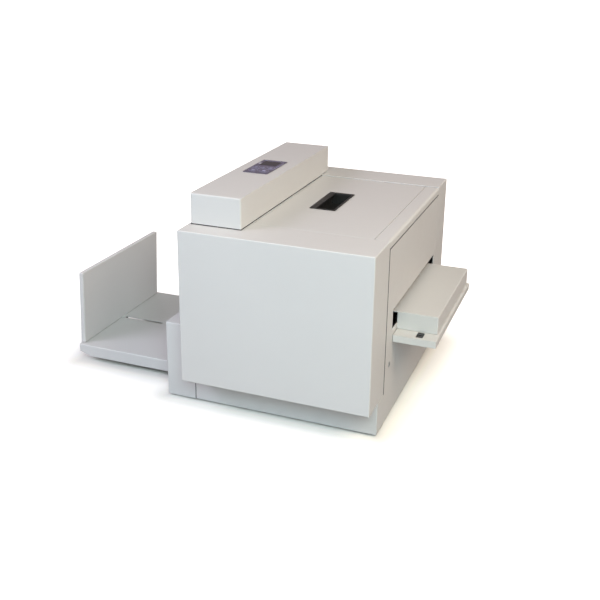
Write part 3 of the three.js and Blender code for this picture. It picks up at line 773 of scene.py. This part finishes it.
def retaining_ring(name, centre, place, radius, body):
    """A ring in a groove of a shaft that lies along Y."""
    half = 0.5 * MM
    inner, outer = radius - 0.6 * MM, radius + 2.4 * MM
    collar(name, "y", centre, place - half, place + half, inner, outer, "zinc_steel", body)


def toothed_pulley(name, axis, centre, start, end, radius, bore, body):
    """A timing pulley: teeth between two thin flanges."""
    thick, pitch = 0.7 * MM, 5 * MM
    rim = radius + 2.6 * MM
    teeth = fluted(radius, 1.1 * MM, 2 * round(2 * math.pi * radius / pitch))
    profile = [(start + thick, bore), (start + thick, teeth), (end - thick, teeth), (end - thick, bore)]
    turned(name, axis, centre, profile, "aluminium", body, (), 240, 40.0)
    for side, at in (("low", start), ("high", end - thick)):
        collar(f"{name}_flange_{side}", axis, centre, at, at + thick, bore, rim, "aluminium", body, 64)


def feed_rollers():
    """Rubber sleeves on ground shafts. The driven ones carry a timing pulley in front of the frame."""
    for node in ("infeed_drive_roller", "infeed_nip_roller", "outfeed_drive_roller", "outfeed_nip_roller"):
        body, centre, radius = BODY_OF[node], middle(node), radius_of(node)
        *pulley, start, end = levels(node, "y", radius)
        shaft(f"{node}_shaft", "y", centre, low(node).y, high(node).y, SHAFT_RADIUS, body, [node])
        sleeve(f"{node}_sleeve", centre, start, end, radius, body)
        if pulley:
            toothed_pulley(f"{node}_pulley", "y", centre, *pulley, radius, SHAFT_RADIUS, body)
            for name, place in RING_PLACES.items():
                retaining_ring(f"{node}_ring_{name}", centre, place, SHAFT_RADIUS, body)


def sleeve(name, centre, start, end, radius, body):
    """A rubber sleeve on an aluminium core, with shallow grooves that let paper dust through."""
    turned(f"{name}_core", "y", centre, barrel(start, end, radius - 3.5 * MM), "aluminium", body)
    core = 2.0 * MM  # how far the core stands out at each end
    chamfer = 0.8 * MM
    groove, count = 0.5 * MM, 8
    seat, rim = radius - 3.4 * MM, radius - chamfer
    profile = [(start + core, seat), (start + core, rim), (start + core + chamfer, radius)]
    for k in range(1, count):
        at = start + (end - start) * k / count
        for off, depth in ((-1.0, 0.0), (-0.6, groove), (0.6, groove), (1.0, 0.0)):
            profile.append((at + off * MM, radius - depth))
    profile += [(end - core - chamfer, radius), (end - core, rim), (end - core, seat)]
    turned(name, "y", centre, profile, "rubber", body)


def motor_pulley():
    """The transport motor's pulley on its shaft."""
    node = "motor_pulley"
    body, centre, radius = BODY_OF[node], middle(node), radius_of(node)
    start, end = levels(node, "y", radius)
    shaft("motor_pulley_shaft", "y", centre, start + 2 * MM, high(node).y, SHAFT_RADIUS, body, [node])
    toothed_pulley("motor_pulley_rim", "y", centre, start, end, radius, SHAFT_RADIUS, body)


def even_steps(outline, step):
    """Points at even distances round a closed outline, an even number of them, about a step apart."""
    lengths = [(b - a).length for a, b in zip(outline, outline[1:] + outline[:1])]
    count = 2 * round(sum(lengths) / (2 * step))
    step, path, carried = sum(lengths) / count, [], 0.0
    for i, length in enumerate(lengths):
        while carried < length - 1e-9:
            path.append(outline[i].lerp(outline[(i + 1) % len(outline)], carried / length))
            carried += step
        carried -= length
    return path[:count]


def belt(node, axis, wheels, name):
    """A timing belt round some pulleys, given as (u, v, radius): smooth outside, ribbed inside."""
    gap, thickness, rib = 0.4 * MM, 1.8 * MM, 0.3 * MM
    rim = []
    for u, v, radius in wheels:
        rim += circle(u, v, radius + gap + thickness / 2, 96)
    path = even_steps([Vector(rim[i]) for i in convex_hull_2d([Vector(p) for p in rim])], 1.7 * MM)
    count = len(path)
    inside = sum(path, Vector((0.0, 0.0))) / count
    start, end = (corner[AXES.index(axis)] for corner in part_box(node))
    bm = bmesh.new()
    rings = []
    for i, point in enumerate(path):
        along = (path[(i + 1) % count] - path[i - 1]).normalized()
        out = Vector((along.y, -along.x))
        if out.dot(point - inside) < 0:
            out.negate()
        inner = point - out * (thickness / 2 - rib * (i % 2))
        outer = point + out * thickness / 2
        section = [(inner, start), (inner, end), (outer, end), (outer, start)]
        rings.append([bm.verts.new([(p.x, p.y, w)[k] for k in ORDER[axis]]) for p, w in section])
    join(bm, [*rings, rings[0]])
    smooth(finished(bm, name, SLOT_OF[node], BODY_OF[node], [node]), 50.0)


def belts():
    """The transport's belt round three pulleys, and the jack's belt round two."""
    drives = [middle(node) for node in ("infeed_drive_roller", "outfeed_drive_roller", "motor_pulley")]
    wheels = [(c.x, c.z, radius_of("motor_pulley")) for c in drives]
    belt("transport_belt", "y", wheels, "transport_belt_ribbed")
    jacks = [middle(node) for node in ("jack_screw_front", "jack_screw_rear")]
    wheels = [(c.x, c.y, radius_of("jack_screw_front")) for c in jacks]
    belt("jack_belt", "z", wheels, "jack_belt_ribbed")


def jack_screws():
    """Two-start screws with a pulley near the foot. The rear one stands on a spigot."""
    radius, depth, pitch, starts = 8 * MM, 1.1 * MM, 4 * MM, 2
    for node in ("jack_screw_front", "jack_screw_rear"):
        body, centre, rim = BODY_OF[node], middle(node), radius_of(node)
        start, end = levels(node, "z", rim)
        foot, top = levels(node, "z", radius)[0], high(node).z
        threaded(f"{node}_thread", "z", centre, end, top, radius, depth, pitch, starts, body, [node])
        shaft(f"{node}_neck", "z", centre, foot, end - 1 * MM, radius, body)
        toothed_pulley(f"{node}_pulley", "z", centre, start, end, rim, radius, body)
        if node == "jack_screw_rear":
            shaft(f"{node}_spigot", "z", centre, low(node).z, foot + 1 * MM, 6 * MM, body)


def press():
    """The lead screw, its rods, the bushes and nut in the carriage, and the hardened roller under it."""
    node = "lead_screw"
    body, centre, radius = BODY_OF[node], middle(node), radius_of(node)
    depth, pitch, starts = 1.2 * MM, 5 * MM, 5
    start, end = levels(node, "y", radius)
    threaded("lead_screw_thread", "y", centre, start, end, radius, depth, pitch, starts, body, [node])
    for name, a, b in (("front", low(node).y, start + 1 * MM), ("rear", end - 1 * MM, high(node).y)):
        shaft(f"lead_screw_journal_{name}", "y", centre, a, b, SHAFT_RADIUS, body)

    carriage = "press_carriage"
    riding = BODY_OF[carriage]
    ends = (("front", low(carriage).y, -1), ("rear", high(carriage).y, 1))
    for side in ("left", "right"):
        node = f"guide_rod_{side}"
        body, rod, radius = BODY_OF[node], middle(node), radius_of(node)
        shaft(f"{node}_ground", "y", rod, low(node).y, high(node).y, radius, body, [node])
        for end, face, outward in ends:
            name = f"carriage_bush_{side}_{end}"
            a, b = sorted((face, face + outward * 1.2 * MM))
            collar(name, "y", rod, a, b, radius + 0.5 * MM, radius + 4 * MM, "zinc_steel", riding)
            retaining_ring(f"{node}_ring_{end}", rod, RING_PLACES[end], radius, body)
    for end, face, outward in ends:
        a, b = sorted((face, face + outward * 2.0 * MM))
        collar(f"carriage_nut_{end}", "y", centre, a, b, 7.5 * MM, 13 * MM, "aluminium", riding)
    for i, (sx, sy) in enumerate(((-1, -1), (-1, 1), (1, -1), (1, 1))):
        top = middle(carriage) + Vector((sx * 27 * MM, sy * 19 * MM, 0))
        top.z = high(carriage).z
        screw(f"carriage_screw_{i + 1}", top, "+z", riding)

    node = "press_roller"
    radius, shoulder = radius_of(node), 9 * MM
    face_low, face_high = levels(node, "z", radius)
    shoulder_top = levels(node, "z", shoulder)[-1]
    profile = barrel(face_low, face_high, radius, 1.2 * MM)
    profile += [
        (face_high, shoulder),
        (shoulder_top - 0.4 * MM, shoulder),
        (shoulder_top, shoulder - 0.4 * MM),
        (shoulder_top, SHAFT_RADIUS),
        (high(node).z - 0.5 * MM, SHAFT_RADIUS),
        (high(node).z, SHAFT_RADIUS - 0.5 * MM),
    ]
    turned("press_roller_ground", "z", middle(node), profile, "ground_steel", BODY_OF[node], [node])


def stop_knob():
    """A fluted knob, hollow above for the stud."""
    node = "stop_knob"
    radius = radius_of(node)
    floor, top = low(node).z, high(node).z
    grip = fluted(radius, 0.7 * MM, 12)
    profile = [
        (floor, radius - 2.2 * MM),
        (floor + 0.8 * MM, radius - 1.2 * MM),
        (floor + 1.6 * MM, grip),
        (top - 1.6 * MM, grip),
        (top, radius - 1.2 * MM),
        (top, 3.4 * MM),
        (floor + 1.5 * MM, 3.4 * MM),
    ]
    turned("stop_knob_fluted", "z", middle(node), profile, SLOT_OF[node], BODY_OF[node], [node], 96, 40.0)


# ---- Motors and electrics ----


def stepper(node, axis):
    """A stepping motor: a laminated stack between two cast end bells."""
    body, centre = BODY_OF[node], middle(node)
    along = AXES.index(axis)
    start, end = low(node)[along], high(node)[along]
    u, v = (i for i in range(3) if i != along)
    half = (high(node)[u] - low(node)[u]) / 2
    bell, lamination, groove, cut = 9 * MM, 2.4 * MM, 0.3 * MM, 9 * MM
    length = end - start - 2 * bell
    count = int(length / lamination)
    outer, inner = (chamfered_square(half - inset, cut) for inset in (0.6 * MM, 1.1 * MM))
    stack = [(start + bell - 1 * MM, inner)]
    for k in range(count):
        at = start + bell + length * k / count
        stack += [(at, inner), (at + groove, outer)]
        stack += [(at + lamination - groove, outer), (at + lamination, inner)]
    stack.append((end - bell + 1 * MM, inner))
    turned(f"{node}_stack", axis, centre, stack, "motor_case", body, [node], 96, 20.0)
    outline = rounded(centre[u] - half, centre[u] + half, centre[v] - half, centre[v] + half, 5 * MM)
    for name, a, b in (("front", start, start + bell), ("rear", end - bell, end)):
        prism(f"{node}_bell_{name}", axis, [outline], a, b, "aluminium", body, edge=0.8 * MM)


def power_supply():
    """The supply's case with its perforated lid, and the terminal strip on its foot."""
    node = "power_supply"
    body = BODY_OF[node]
    lowest, highest = low(node), high(node)
    strip_depth, lid, margin = 16 * MM, 1 * MM, 9 * MM
    case_front = lowest.y + strip_depth
    case_low = Vector((lowest.x, case_front, lowest.z))
    case_high = Vector((highest.x, highest.y, highest.z - lid))
    block("power_supply_case", case_low, case_high, "supply_case", body, [node], corner=1.2 * MM)
    pitch, hole = 8 * MM, 2.2 * MM
    outlines = [rounded(lowest.x, highest.x, case_front, highest.y, 1.2 * MM)]
    rows = int((highest.y - case_front - 2 * margin) / pitch)
    columns = int((highest.x - lowest.x - 2 * margin) / pitch)
    for j in range(rows + 1):
        for i in range(columns + 1 - j % 2):
            x = lowest.x + margin + (i + 0.5 * (j % 2)) * pitch
            outlines.append(circle(x, case_front + margin + j * pitch, hole, 12))
    prism("power_supply_lid", "z", outlines, case_high.z, highest.z, "supply_case", body)
    foot_high = Vector((highest.x, case_front + 0.5 * MM, lowest.z + 1.5 * MM))
    block("power_supply_foot", lowest, foot_high, "supply_case", body, edge=0.3 * MM)

    strip_low = Vector((lowest.x + 8 * MM, lowest.y + 2 * MM, foot_high.z))
    strip_high = Vector((highest.x - 8 * MM, case_front, foot_high.z + 13 * MM))
    block("terminal_strip", strip_low, strip_high, "black_plastic", body, edge=0.6 * MM)
    count = 9
    for k in range(count):
        x = strip_low.x + (strip_high.x - strip_low.x) * (k + 0.5) / count
        place = (x, (strip_low.y + strip_high.y) / 2, strip_high.z)
        screw(f"terminal_screw_{k + 1}", place, "+z", body, height=1.3 * MM, recess=crossed())


def control_board():
    """The board under the keypad, with a switch below each key, the display's module and parts underneath."""
    node = "control_board"
    body = BODY_OF[node]
    lowest, highest = low(node), high(node)
    inset = 5 * MM
    holes = []
    for x in (lowest.x + inset, highest.x - inset):
        for y in (lowest.y + inset, highest.y - inset):
            holes.append(circle(x, y, 1.7 * MM, 24))
    outline = rounded(lowest.x, highest.x, lowest.y, highest.y, 3 * MM)
    prism("control_board_etched", "z", [outline, *holes], lowest.z, highest.z, "board_green", body, [node])
    half = 3.1 * MM
    for key in KEYS:
        centre, bottom = middle(key), low(key).z
        switch_low = (centre.x - half, centre.y - half, highest.z)
        switch_high = (centre.x + half, centre.y + half, highest.z + 3.6 * MM)
        block(f"{key}_switch", switch_low, switch_high, "black_plastic", body)
        plunger = barrel(highest.z + 3.4 * MM, bottom - 0.9 * MM, 1.7 * MM, 0.3 * MM)
        turned(f"{key}_plunger", "z", centre, plunger, "zinc_steel", body, sides=32)
    glass_low, glass_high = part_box("display_window")
    module_low = (glass_low.x, glass_low.y, highest.z)
    module_high = (glass_high.x, glass_high.y, glass_low.z - 0.3 * MM)
    block("display_module", module_low, module_high, "black_plastic", body, edge=0.6 * MM)
    centre = middle(node)
    parts = {  # name: place across and along the board, width, depth, height (mm)
        "processor": (0, -20, 14, 14, 1.6),
        "driver": (-18, 14, 10, 7, 2.0),
        "memory": (16, 6, 8, 5, 1.6),
        "ribbon_socket": (0, 52, 32, 8, 9),
        "power_socket": (-18, -52, 16, 9, 10),
    }
    for name, (x, y, width, depth, height) in parts.items():
        hang = Vector((centre.x + x * MM, centre.y + y * MM, lowest.z))
        half = Vector((width * MM / 2, depth * MM / 2, 0))
        drop = Vector((0, 0, height * MM))
        block(f"board_{name}", hang - half - drop, hang + half, "black_plastic", body, edge=0.25 * MM)
    # A capacitor's profile: drop below the board, radius (mm).
    can = [(9, 2.6), (8.6, 3.0), (2, 3.0), (1.6, 2.7), (1.2, 3.0), (0, 3.0)]
    can = [(lowest.z - drop * MM, radius * MM) for drop, radius in can]
    for k in range(4):
        hang = (centre.x + (8 + 8 * (k % 2)) * MM, centre.y + (24 + 9 * (k // 2)) * MM, 0)
        turned(f"board_capacitor_{k + 1}", "z", hang, can, "aluminium", body, sides=32)


def power_entry():
    """The moulded power entry with its metal pins, and the rocker with a bar for on and a ring for off."""
    node = "mains_inlet"
    body = BODY_OF[node]
    formed(node, bend=0.9 * MM, broken=0.3 * MM)
    socket_middle, pitch, depth = 70 * MM, 7 * MM, 14.4 * MM
    half = Vector((1.15 * MM, 5.6 * MM, 2.1 * MM))
    for k, name in enumerate(("left", "earth", "right")):
        centre = middle(node)
        centre.x = low(node).x + socket_middle + (k - 1) * pitch
        centre.y = high(node).y - depth
        centre.z -= 2 * MM * (k % 2)
        block(f"inlet_pin_{name}", centre - half, centre + half, "ground_steel", body)
    node = "mains_switch"
    body = BODY_OF[node]
    formed(node, bend=0.8 * MM, broken=0.3 * MM)
    fronts = [face for face in NODES[node].data.polygons if face.normal.y > 0.5]
    centre = middle(node)
    reach, width = 2.6 * MM, 0.9 * MM
    bar = [ribbon([(0, -reach), (0, reach)], width)]
    ink = (-0.05 * MM, 0.06 * MM)
    for name, outlines, share in (("on", bar, 0.52), ("off", ring(0, 0, reach, width), -0.52)):
        at = centre.z + share * (high(node).z - centre.z)
        slope = [f for f in fronts if (f.center.z - centre.z) * (at - centre.z) > 0]
        face = max(slope, key=lambda f: f.area)
        normal = face.normal
        depth = face.center.y - (normal.z * (at - face.center.z)) / normal.y
        mark = prism(f"switch_mark_{name}", "y", outlines, *ink, "key_film", body, finish=INK)
        lean = math.atan2(normal.z, normal.y)
        mark.data.transform(Matrix.Translation((centre.x, depth, at)) @ Matrix.Rotation(lean, 4, "X"))


def ring(x, y, radius, width, sides=48):
    """The two outlines of a printed ring."""
    return [circle(x, y, radius, sides), circle(x, y, radius - width, sides)]


def printed(name, outlines, bottom, top, body, slot="overlay_film"):
    """A printed mark on the keypad."""
    prism(name, "z", outlines, bottom, top, slot, body, finish=INK)


def keypad():
    """The printed overlay, the display window behind it, a status lamp, and dished keys with plain signs."""
    node = "keypad_overlay"
    body = BODY_OF[node]
    lowest, highest = low(node), high(node)
    glass = "display_window"
    glass_low, glass_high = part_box(glass)
    gap = 0.4 * MM
    outline = rounded(lowest.x, highest.x, lowest.y, highest.y, 2.5 * MM)
    opening = rounded(glass_low.x - gap, glass_high.x + gap, glass_low.y - gap, glass_high.y + gap, 1.2 * MM)
    holes = [circle(middle(key).x, middle(key).y, radius_of(key) + gap, 64) for key in KEYS]
    film = [outline, opening, *holes]
    prism("keypad_overlay_film", "z", film, lowest.z, highest.z, "overlay_film", body, [node], edge=0.15 * MM)
    block("display_window_pane", glass_low, glass_high, "display_glass", BODY_OF[glass], [glass], 0.3 * MM)

    ink = (highest.z - 0.02 * MM, highest.z + 0.05 * MM)
    for key in KEYS:
        rim = ring(middle(key).x, middle(key).y, radius_of(key) + 1.7 * MM, 0.7 * MM, 64)
        printed(f"{key}_printed_rim", rim, *ink, body)
    line = [(4, 31.5), (20, 31.5), (36, 31.2), (43, 32.5), (46.5, 36), (47.5, 42), (47.5, 60), (47.5, 88)]
    line = [(lowest.x + x * MM, lowest.y + y * MM) for x, y in rounded_path(line)]
    printed("overlay_line_long", [ribbon(line, 1.1 * MM)], *ink, body)
    bar_at = lowest.y + 97 * MM
    bar = [(lowest.x + 5 * MM, bar_at), (highest.x - 5 * MM, bar_at)]
    printed("overlay_line_top", [ribbon(bar, 1.0 * MM)], *ink, body)
    lamp = Vector((lowest.x + 4.8 * MM, lowest.y + 72 * MM, highest.z))
    lamp_low = lamp - Vector((2.6 * MM, 3.0 * MM, 0.3 * MM))
    lamp_high = lamp + Vector((2.6 * MM, 3.0 * MM, 0.35 * MM))
    block("status_lamp", lamp_low, lamp_high, "key_film", body, edge=0.3 * MM, finish=LAMP)

    for key in KEYS:
        body = BODY_OF[key]
        centre, radius = middle(key), radius_of(key)
        bottom, top = low(key).z, high(key).z
        profile = [
            (bottom, radius - 0.3 * MM),
            (bottom + 0.3 * MM, radius),
            (top - 0.5 * MM, radius),
            (top - 0.15 * MM, radius - 0.2 * MM),
            (top, radius - 0.6 * MM),
            (top - 0.12 * MM, radius - 1.3 * MM),
            (top - 0.3 * MM, 0.5 * radius),
        ]
        turned(f"{key}_cap", "z", centre, profile, "key_film", body, [key], angle=50.0)
        sign = []
        for outline in SIGNS[key]:
            sign.append([(centre.x + u * radius, centre.y + v * radius) for u, v in outline])
        printed(f"{key}_sign", sign, top - 0.35 * MM, top - 0.1 * MM, body, "key_film")


def rounded_path(points, steps=6):
    """A smooth line through some points, by Catmull and Rom's rule."""
    last = len(points) - 1
    line = []
    for i in range(last):
        a, b, c, d = (Vector(points[min(max(i + k, 0), last)]) for k in (-1, 0, 1, 2))
        for s in range(steps):
            t = s / steps
            curve = 2 * b + (c - a) * t + (2 * a - 5 * b + 4 * c - d) * t**2 + (3 * b - a - 3 * c + d) * t**3
            line.append(tuple(0.5 * curve))
    return line + [points[-1]]


def infeed_sensor():
    """The booklet sensor: a moulded body with a polished round window."""
    node = "infeed_sensor"
    body = BODY_OF[node]
    block("infeed_sensor_body", low(node), high(node), "black_plastic", body, [node], 0.5 * MM, 2 * MM)
    lens = [(-0.5, 3.4), (0.1, 3.3), (0.5, 2.4), (0.7, 1.0)]  # height above the body, radius (mm)
    lens = [(high(node).z + rise * MM, radius * MM) for rise, radius in lens]
    turned("infeed_sensor_lens", "z", middle(node), lens, "display_glass", body, angle=60.0)


def crossed_bars(reach, half):
    """The outline of a plus sign, whose arms narrow a little towards their ends."""
    quarter = [Vector((half, -half)), Vector((reach, -0.96 * half)), Vector((reach, 0.96 * half))]
    turns = [Matrix.Rotation(k * math.pi / 2, 2) for k in range(4)]
    return [tuple(turn @ corner) for turn in turns for corner in quarter]


KEYS = ("key_start", "key_stop", "key_minus", "key_plus", "key_mode")
SIGNS = {  # in shares of the key's radius
    "key_start": [[(-0.3, -0.42), (0.48, 0.0), (-0.3, 0.42)]],
    "key_stop": [[(-0.36, -0.36), (0.36, -0.36), (0.36, 0.36), (-0.36, 0.36)]],
    "key_minus": [ribbon([(-0.45, 0), (0.45, 0)], 0.17)],
    "key_plus": [crossed_bars(0.45, 0.085)],
    "key_mode": ring(0, 0, 0.45, 0.17),
}

shells()
seam_shade_strips()
feet()
cover_screws()
feed_rollers()
motor_pulley()
belts()
jack_screws()
press()
stop_knob()
for motor, shaft_axis in (("transport_motor", "y"), ("jack_motor", "z"), ("lead_screw_motor", "y")):
    stepper(motor, shaft_axis)
power_supply()
control_board()
power_entry()
keypad()
infeed_sensor()


# ---- Studio ----


LAMPS = {  # name: place, size (metres), power (watts), colour
    "front_right": ((0.9, -2.0, 1.5), (1.2, 1.0), 36.5, (0.71, 0.95, 1.0)),
    "front_left": ((-1.6, -1.4, 1.6), (1.2, 1.0), 30, (0.83, 0.80, 1.0)),
    "side": ((1.4, -0.6, 1.6), (1.0, 1.0), 19, (1.0, 0.80, 0.62)),
    "back_right": ((1.2, 2.0, 0.8), (1.4, 1.0), 6.5, (1.0, 0.97, 0.93)),
    "back_left": ((-1.9, 1.3, 0.6), (1.4, 1.0), 9, (0.95, 0.97, 1.0)),
}
AMBIENT = (1.0, 0.855, 0.855)
AMBIENT_STRENGTH = 0.246
# the distance over which the floor's painted glow rises from nothing to full
GLOW_RISES_OVER = 130 * MM
FLOOR_BOUNCE = 0.45  # the share of the light that the floor gives back to the machine


def floor():
    """White paper, with painted light: the camera sees it glow, not at all beside the machine, and fully past
    GLOW_RISES_OVER, so only the shadow close beside the machine stays.
    """
    bpy.ops.mesh.primitive_plane_add(size=40)
    paper = bpy.context.object
    paper.name = "floor"
    glow = (1.0, 1.0, 1.0, 1.0)
    s = Shader("floor_paper", (0.93, 0.90, 0.83), 0.9, Emission_Color=glow, Specular_IOR_Level=0.0)
    s.tint(s.noise(3.0, 2.0), 0.99, 1.0)

    def vector_math(operation, first, *values):
        node = s.node("VectorMath")
        node.operation = operation
        s.link(first, node.inputs[0])
        for socket, value in zip(node.inputs[1:], values):
            socket.default_value = value
        return node.outputs["Value" if operation == "LENGTH" else "Vector"]

    def distance(left, right, node):
        """How far a point of the floor is from a rectangle between two nodes' ends, as deep as a third."""
        lowest = Vector((low(left).x, low(node).y, 0.0))
        highest = Vector((high(right).x, high(node).y, 0.0))
        offset = vector_math("ABSOLUTE", vector_math("SUBTRACT", s.place, (lowest + highest) / 2))
        beyond = vector_math("SUBTRACT", offset, (highest - lowest) / 2)
        return vector_math("LENGTH", vector_math("MAXIMUM", beyond, (0.0, 0.0, 0.0)))

    nearer = s.node("Math")
    nearer.operation = "MINIMUM"
    s.link(distance("delivery_housing", "base_pan", "base_pan"), nearer.inputs[0])
    s.link(distance("delivery_tray", "delivery_tray", "delivery_tray"), nearer.inputs[1])
    # Painted light: the floor glows more the further it lies from the machine and the tray.
    painted_glow = s.fit(nearer.outputs["Value"], 0.0, 1.0, 0.0, GLOW_RISES_OVER)
    s.link(painted_glow, s.bsdf.inputs["Emission Strength"])
    dim = s.node("BsdfDiffuse", Color=(FLOOR_BOUNCE, FLOOR_BOUNCE, FLOOR_BOUNCE, 1.0))
    surface = s.tree.nodes["Material Output"].inputs["Surface"]
    seen_as(s.tree, dim.outputs["BSDF"], s.bsdf.outputs["BSDF"], surface)
    paper.data.materials.append(s.material)


def seen_as(tree, lighting, seen, surface):
    """Shows one shader to the camera, and lights the machine with another."""
    ray = tree.nodes.new("ShaderNodeLightPath")
    mix = tree.nodes.new("ShaderNodeMixShader")
    tree.links.new(ray.outputs["Is Camera Ray"], mix.inputs["Fac"])
    tree.links.new(lighting, mix.inputs[1])
    tree.links.new(seen, mix.inputs[2])
    tree.links.new(mix.outputs["Shader"], surface)


def world():
    """An even light all round, seen as plain white."""
    made = bpy.data.worlds.new("studio")
    bpy.context.scene.world = made
    made.use_nodes = True
    tree = made.node_tree
    ambient = tree.nodes["Background"]
    ambient.inputs["Color"].default_value = (*AMBIENT, 1.0)
    ambient.inputs["Strength"].default_value = AMBIENT_STRENGTH
    white = tree.nodes.new("ShaderNodeBackground")
    white.inputs["Color"].default_value = (1.0, 1.0, 1.0, 1.0)
    surface = tree.nodes["World Output"].inputs["Surface"]
    seen_as(tree, ambient.outputs["Background"], white.outputs["Background"], surface)


def lamps():
    for name, (place, size, power, color) in LAMPS.items():
        data = bpy.data.lights.new(name, "AREA")
        data.shape = "RECTANGLE"
        data.size, data.size_y = size
        data.energy = power
        data.color = color
        lamp = bpy.data.objects.new(name, data)
        lamp.location = place
        lamp.rotation_euler = (-Vector(place)).to_track_quat("-Z", "Y").to_euler()
        COLLECTION.objects.link(lamp)


# The camera's place is given from the body's front left corner, on the surface that the machine stands on.
BODY_CORNER = Vector((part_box("front_cover")[0].x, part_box("front_cover")[0].y, 0.0))
CAMERA = {"place": Vector((0.6997, -1.2576, 0.8115)), "turn": 20.74, "down": 18.56, "roll": 0.76}
FOCAL_SHARE = 1.478  # focal length over the picture's width
SHIFT = -0.1  # share of the picture's width


def camera():
    data = bpy.data.cameras.new("camera")
    data.sensor_width = 36.0
    data.lens = FOCAL_SHARE * data.sensor_width
    data.shift_y = SHIFT
    view = bpy.data.objects.new("camera", data)
    turn, down, roll = (math.radians(CAMERA[k]) for k in ("turn", "down", "roll"))
    pan, tilt = Matrix.Rotation(turn, 4, "Z"), Matrix.Rotation(math.pi / 2 - down, 4, "X")
    upright = pan @ tilt @ Matrix.Rotation(roll, 4, "Z")
    view.matrix_world = Matrix.Translation(BODY_CORNER + CAMERA["place"]) @ upright
    COLLECTION.objects.link(view)
    bpy.context.scene.camera = view


floor()
world()
lamps()
camera()
bpy.context.scene.view_settings.view_transform = "Standard"
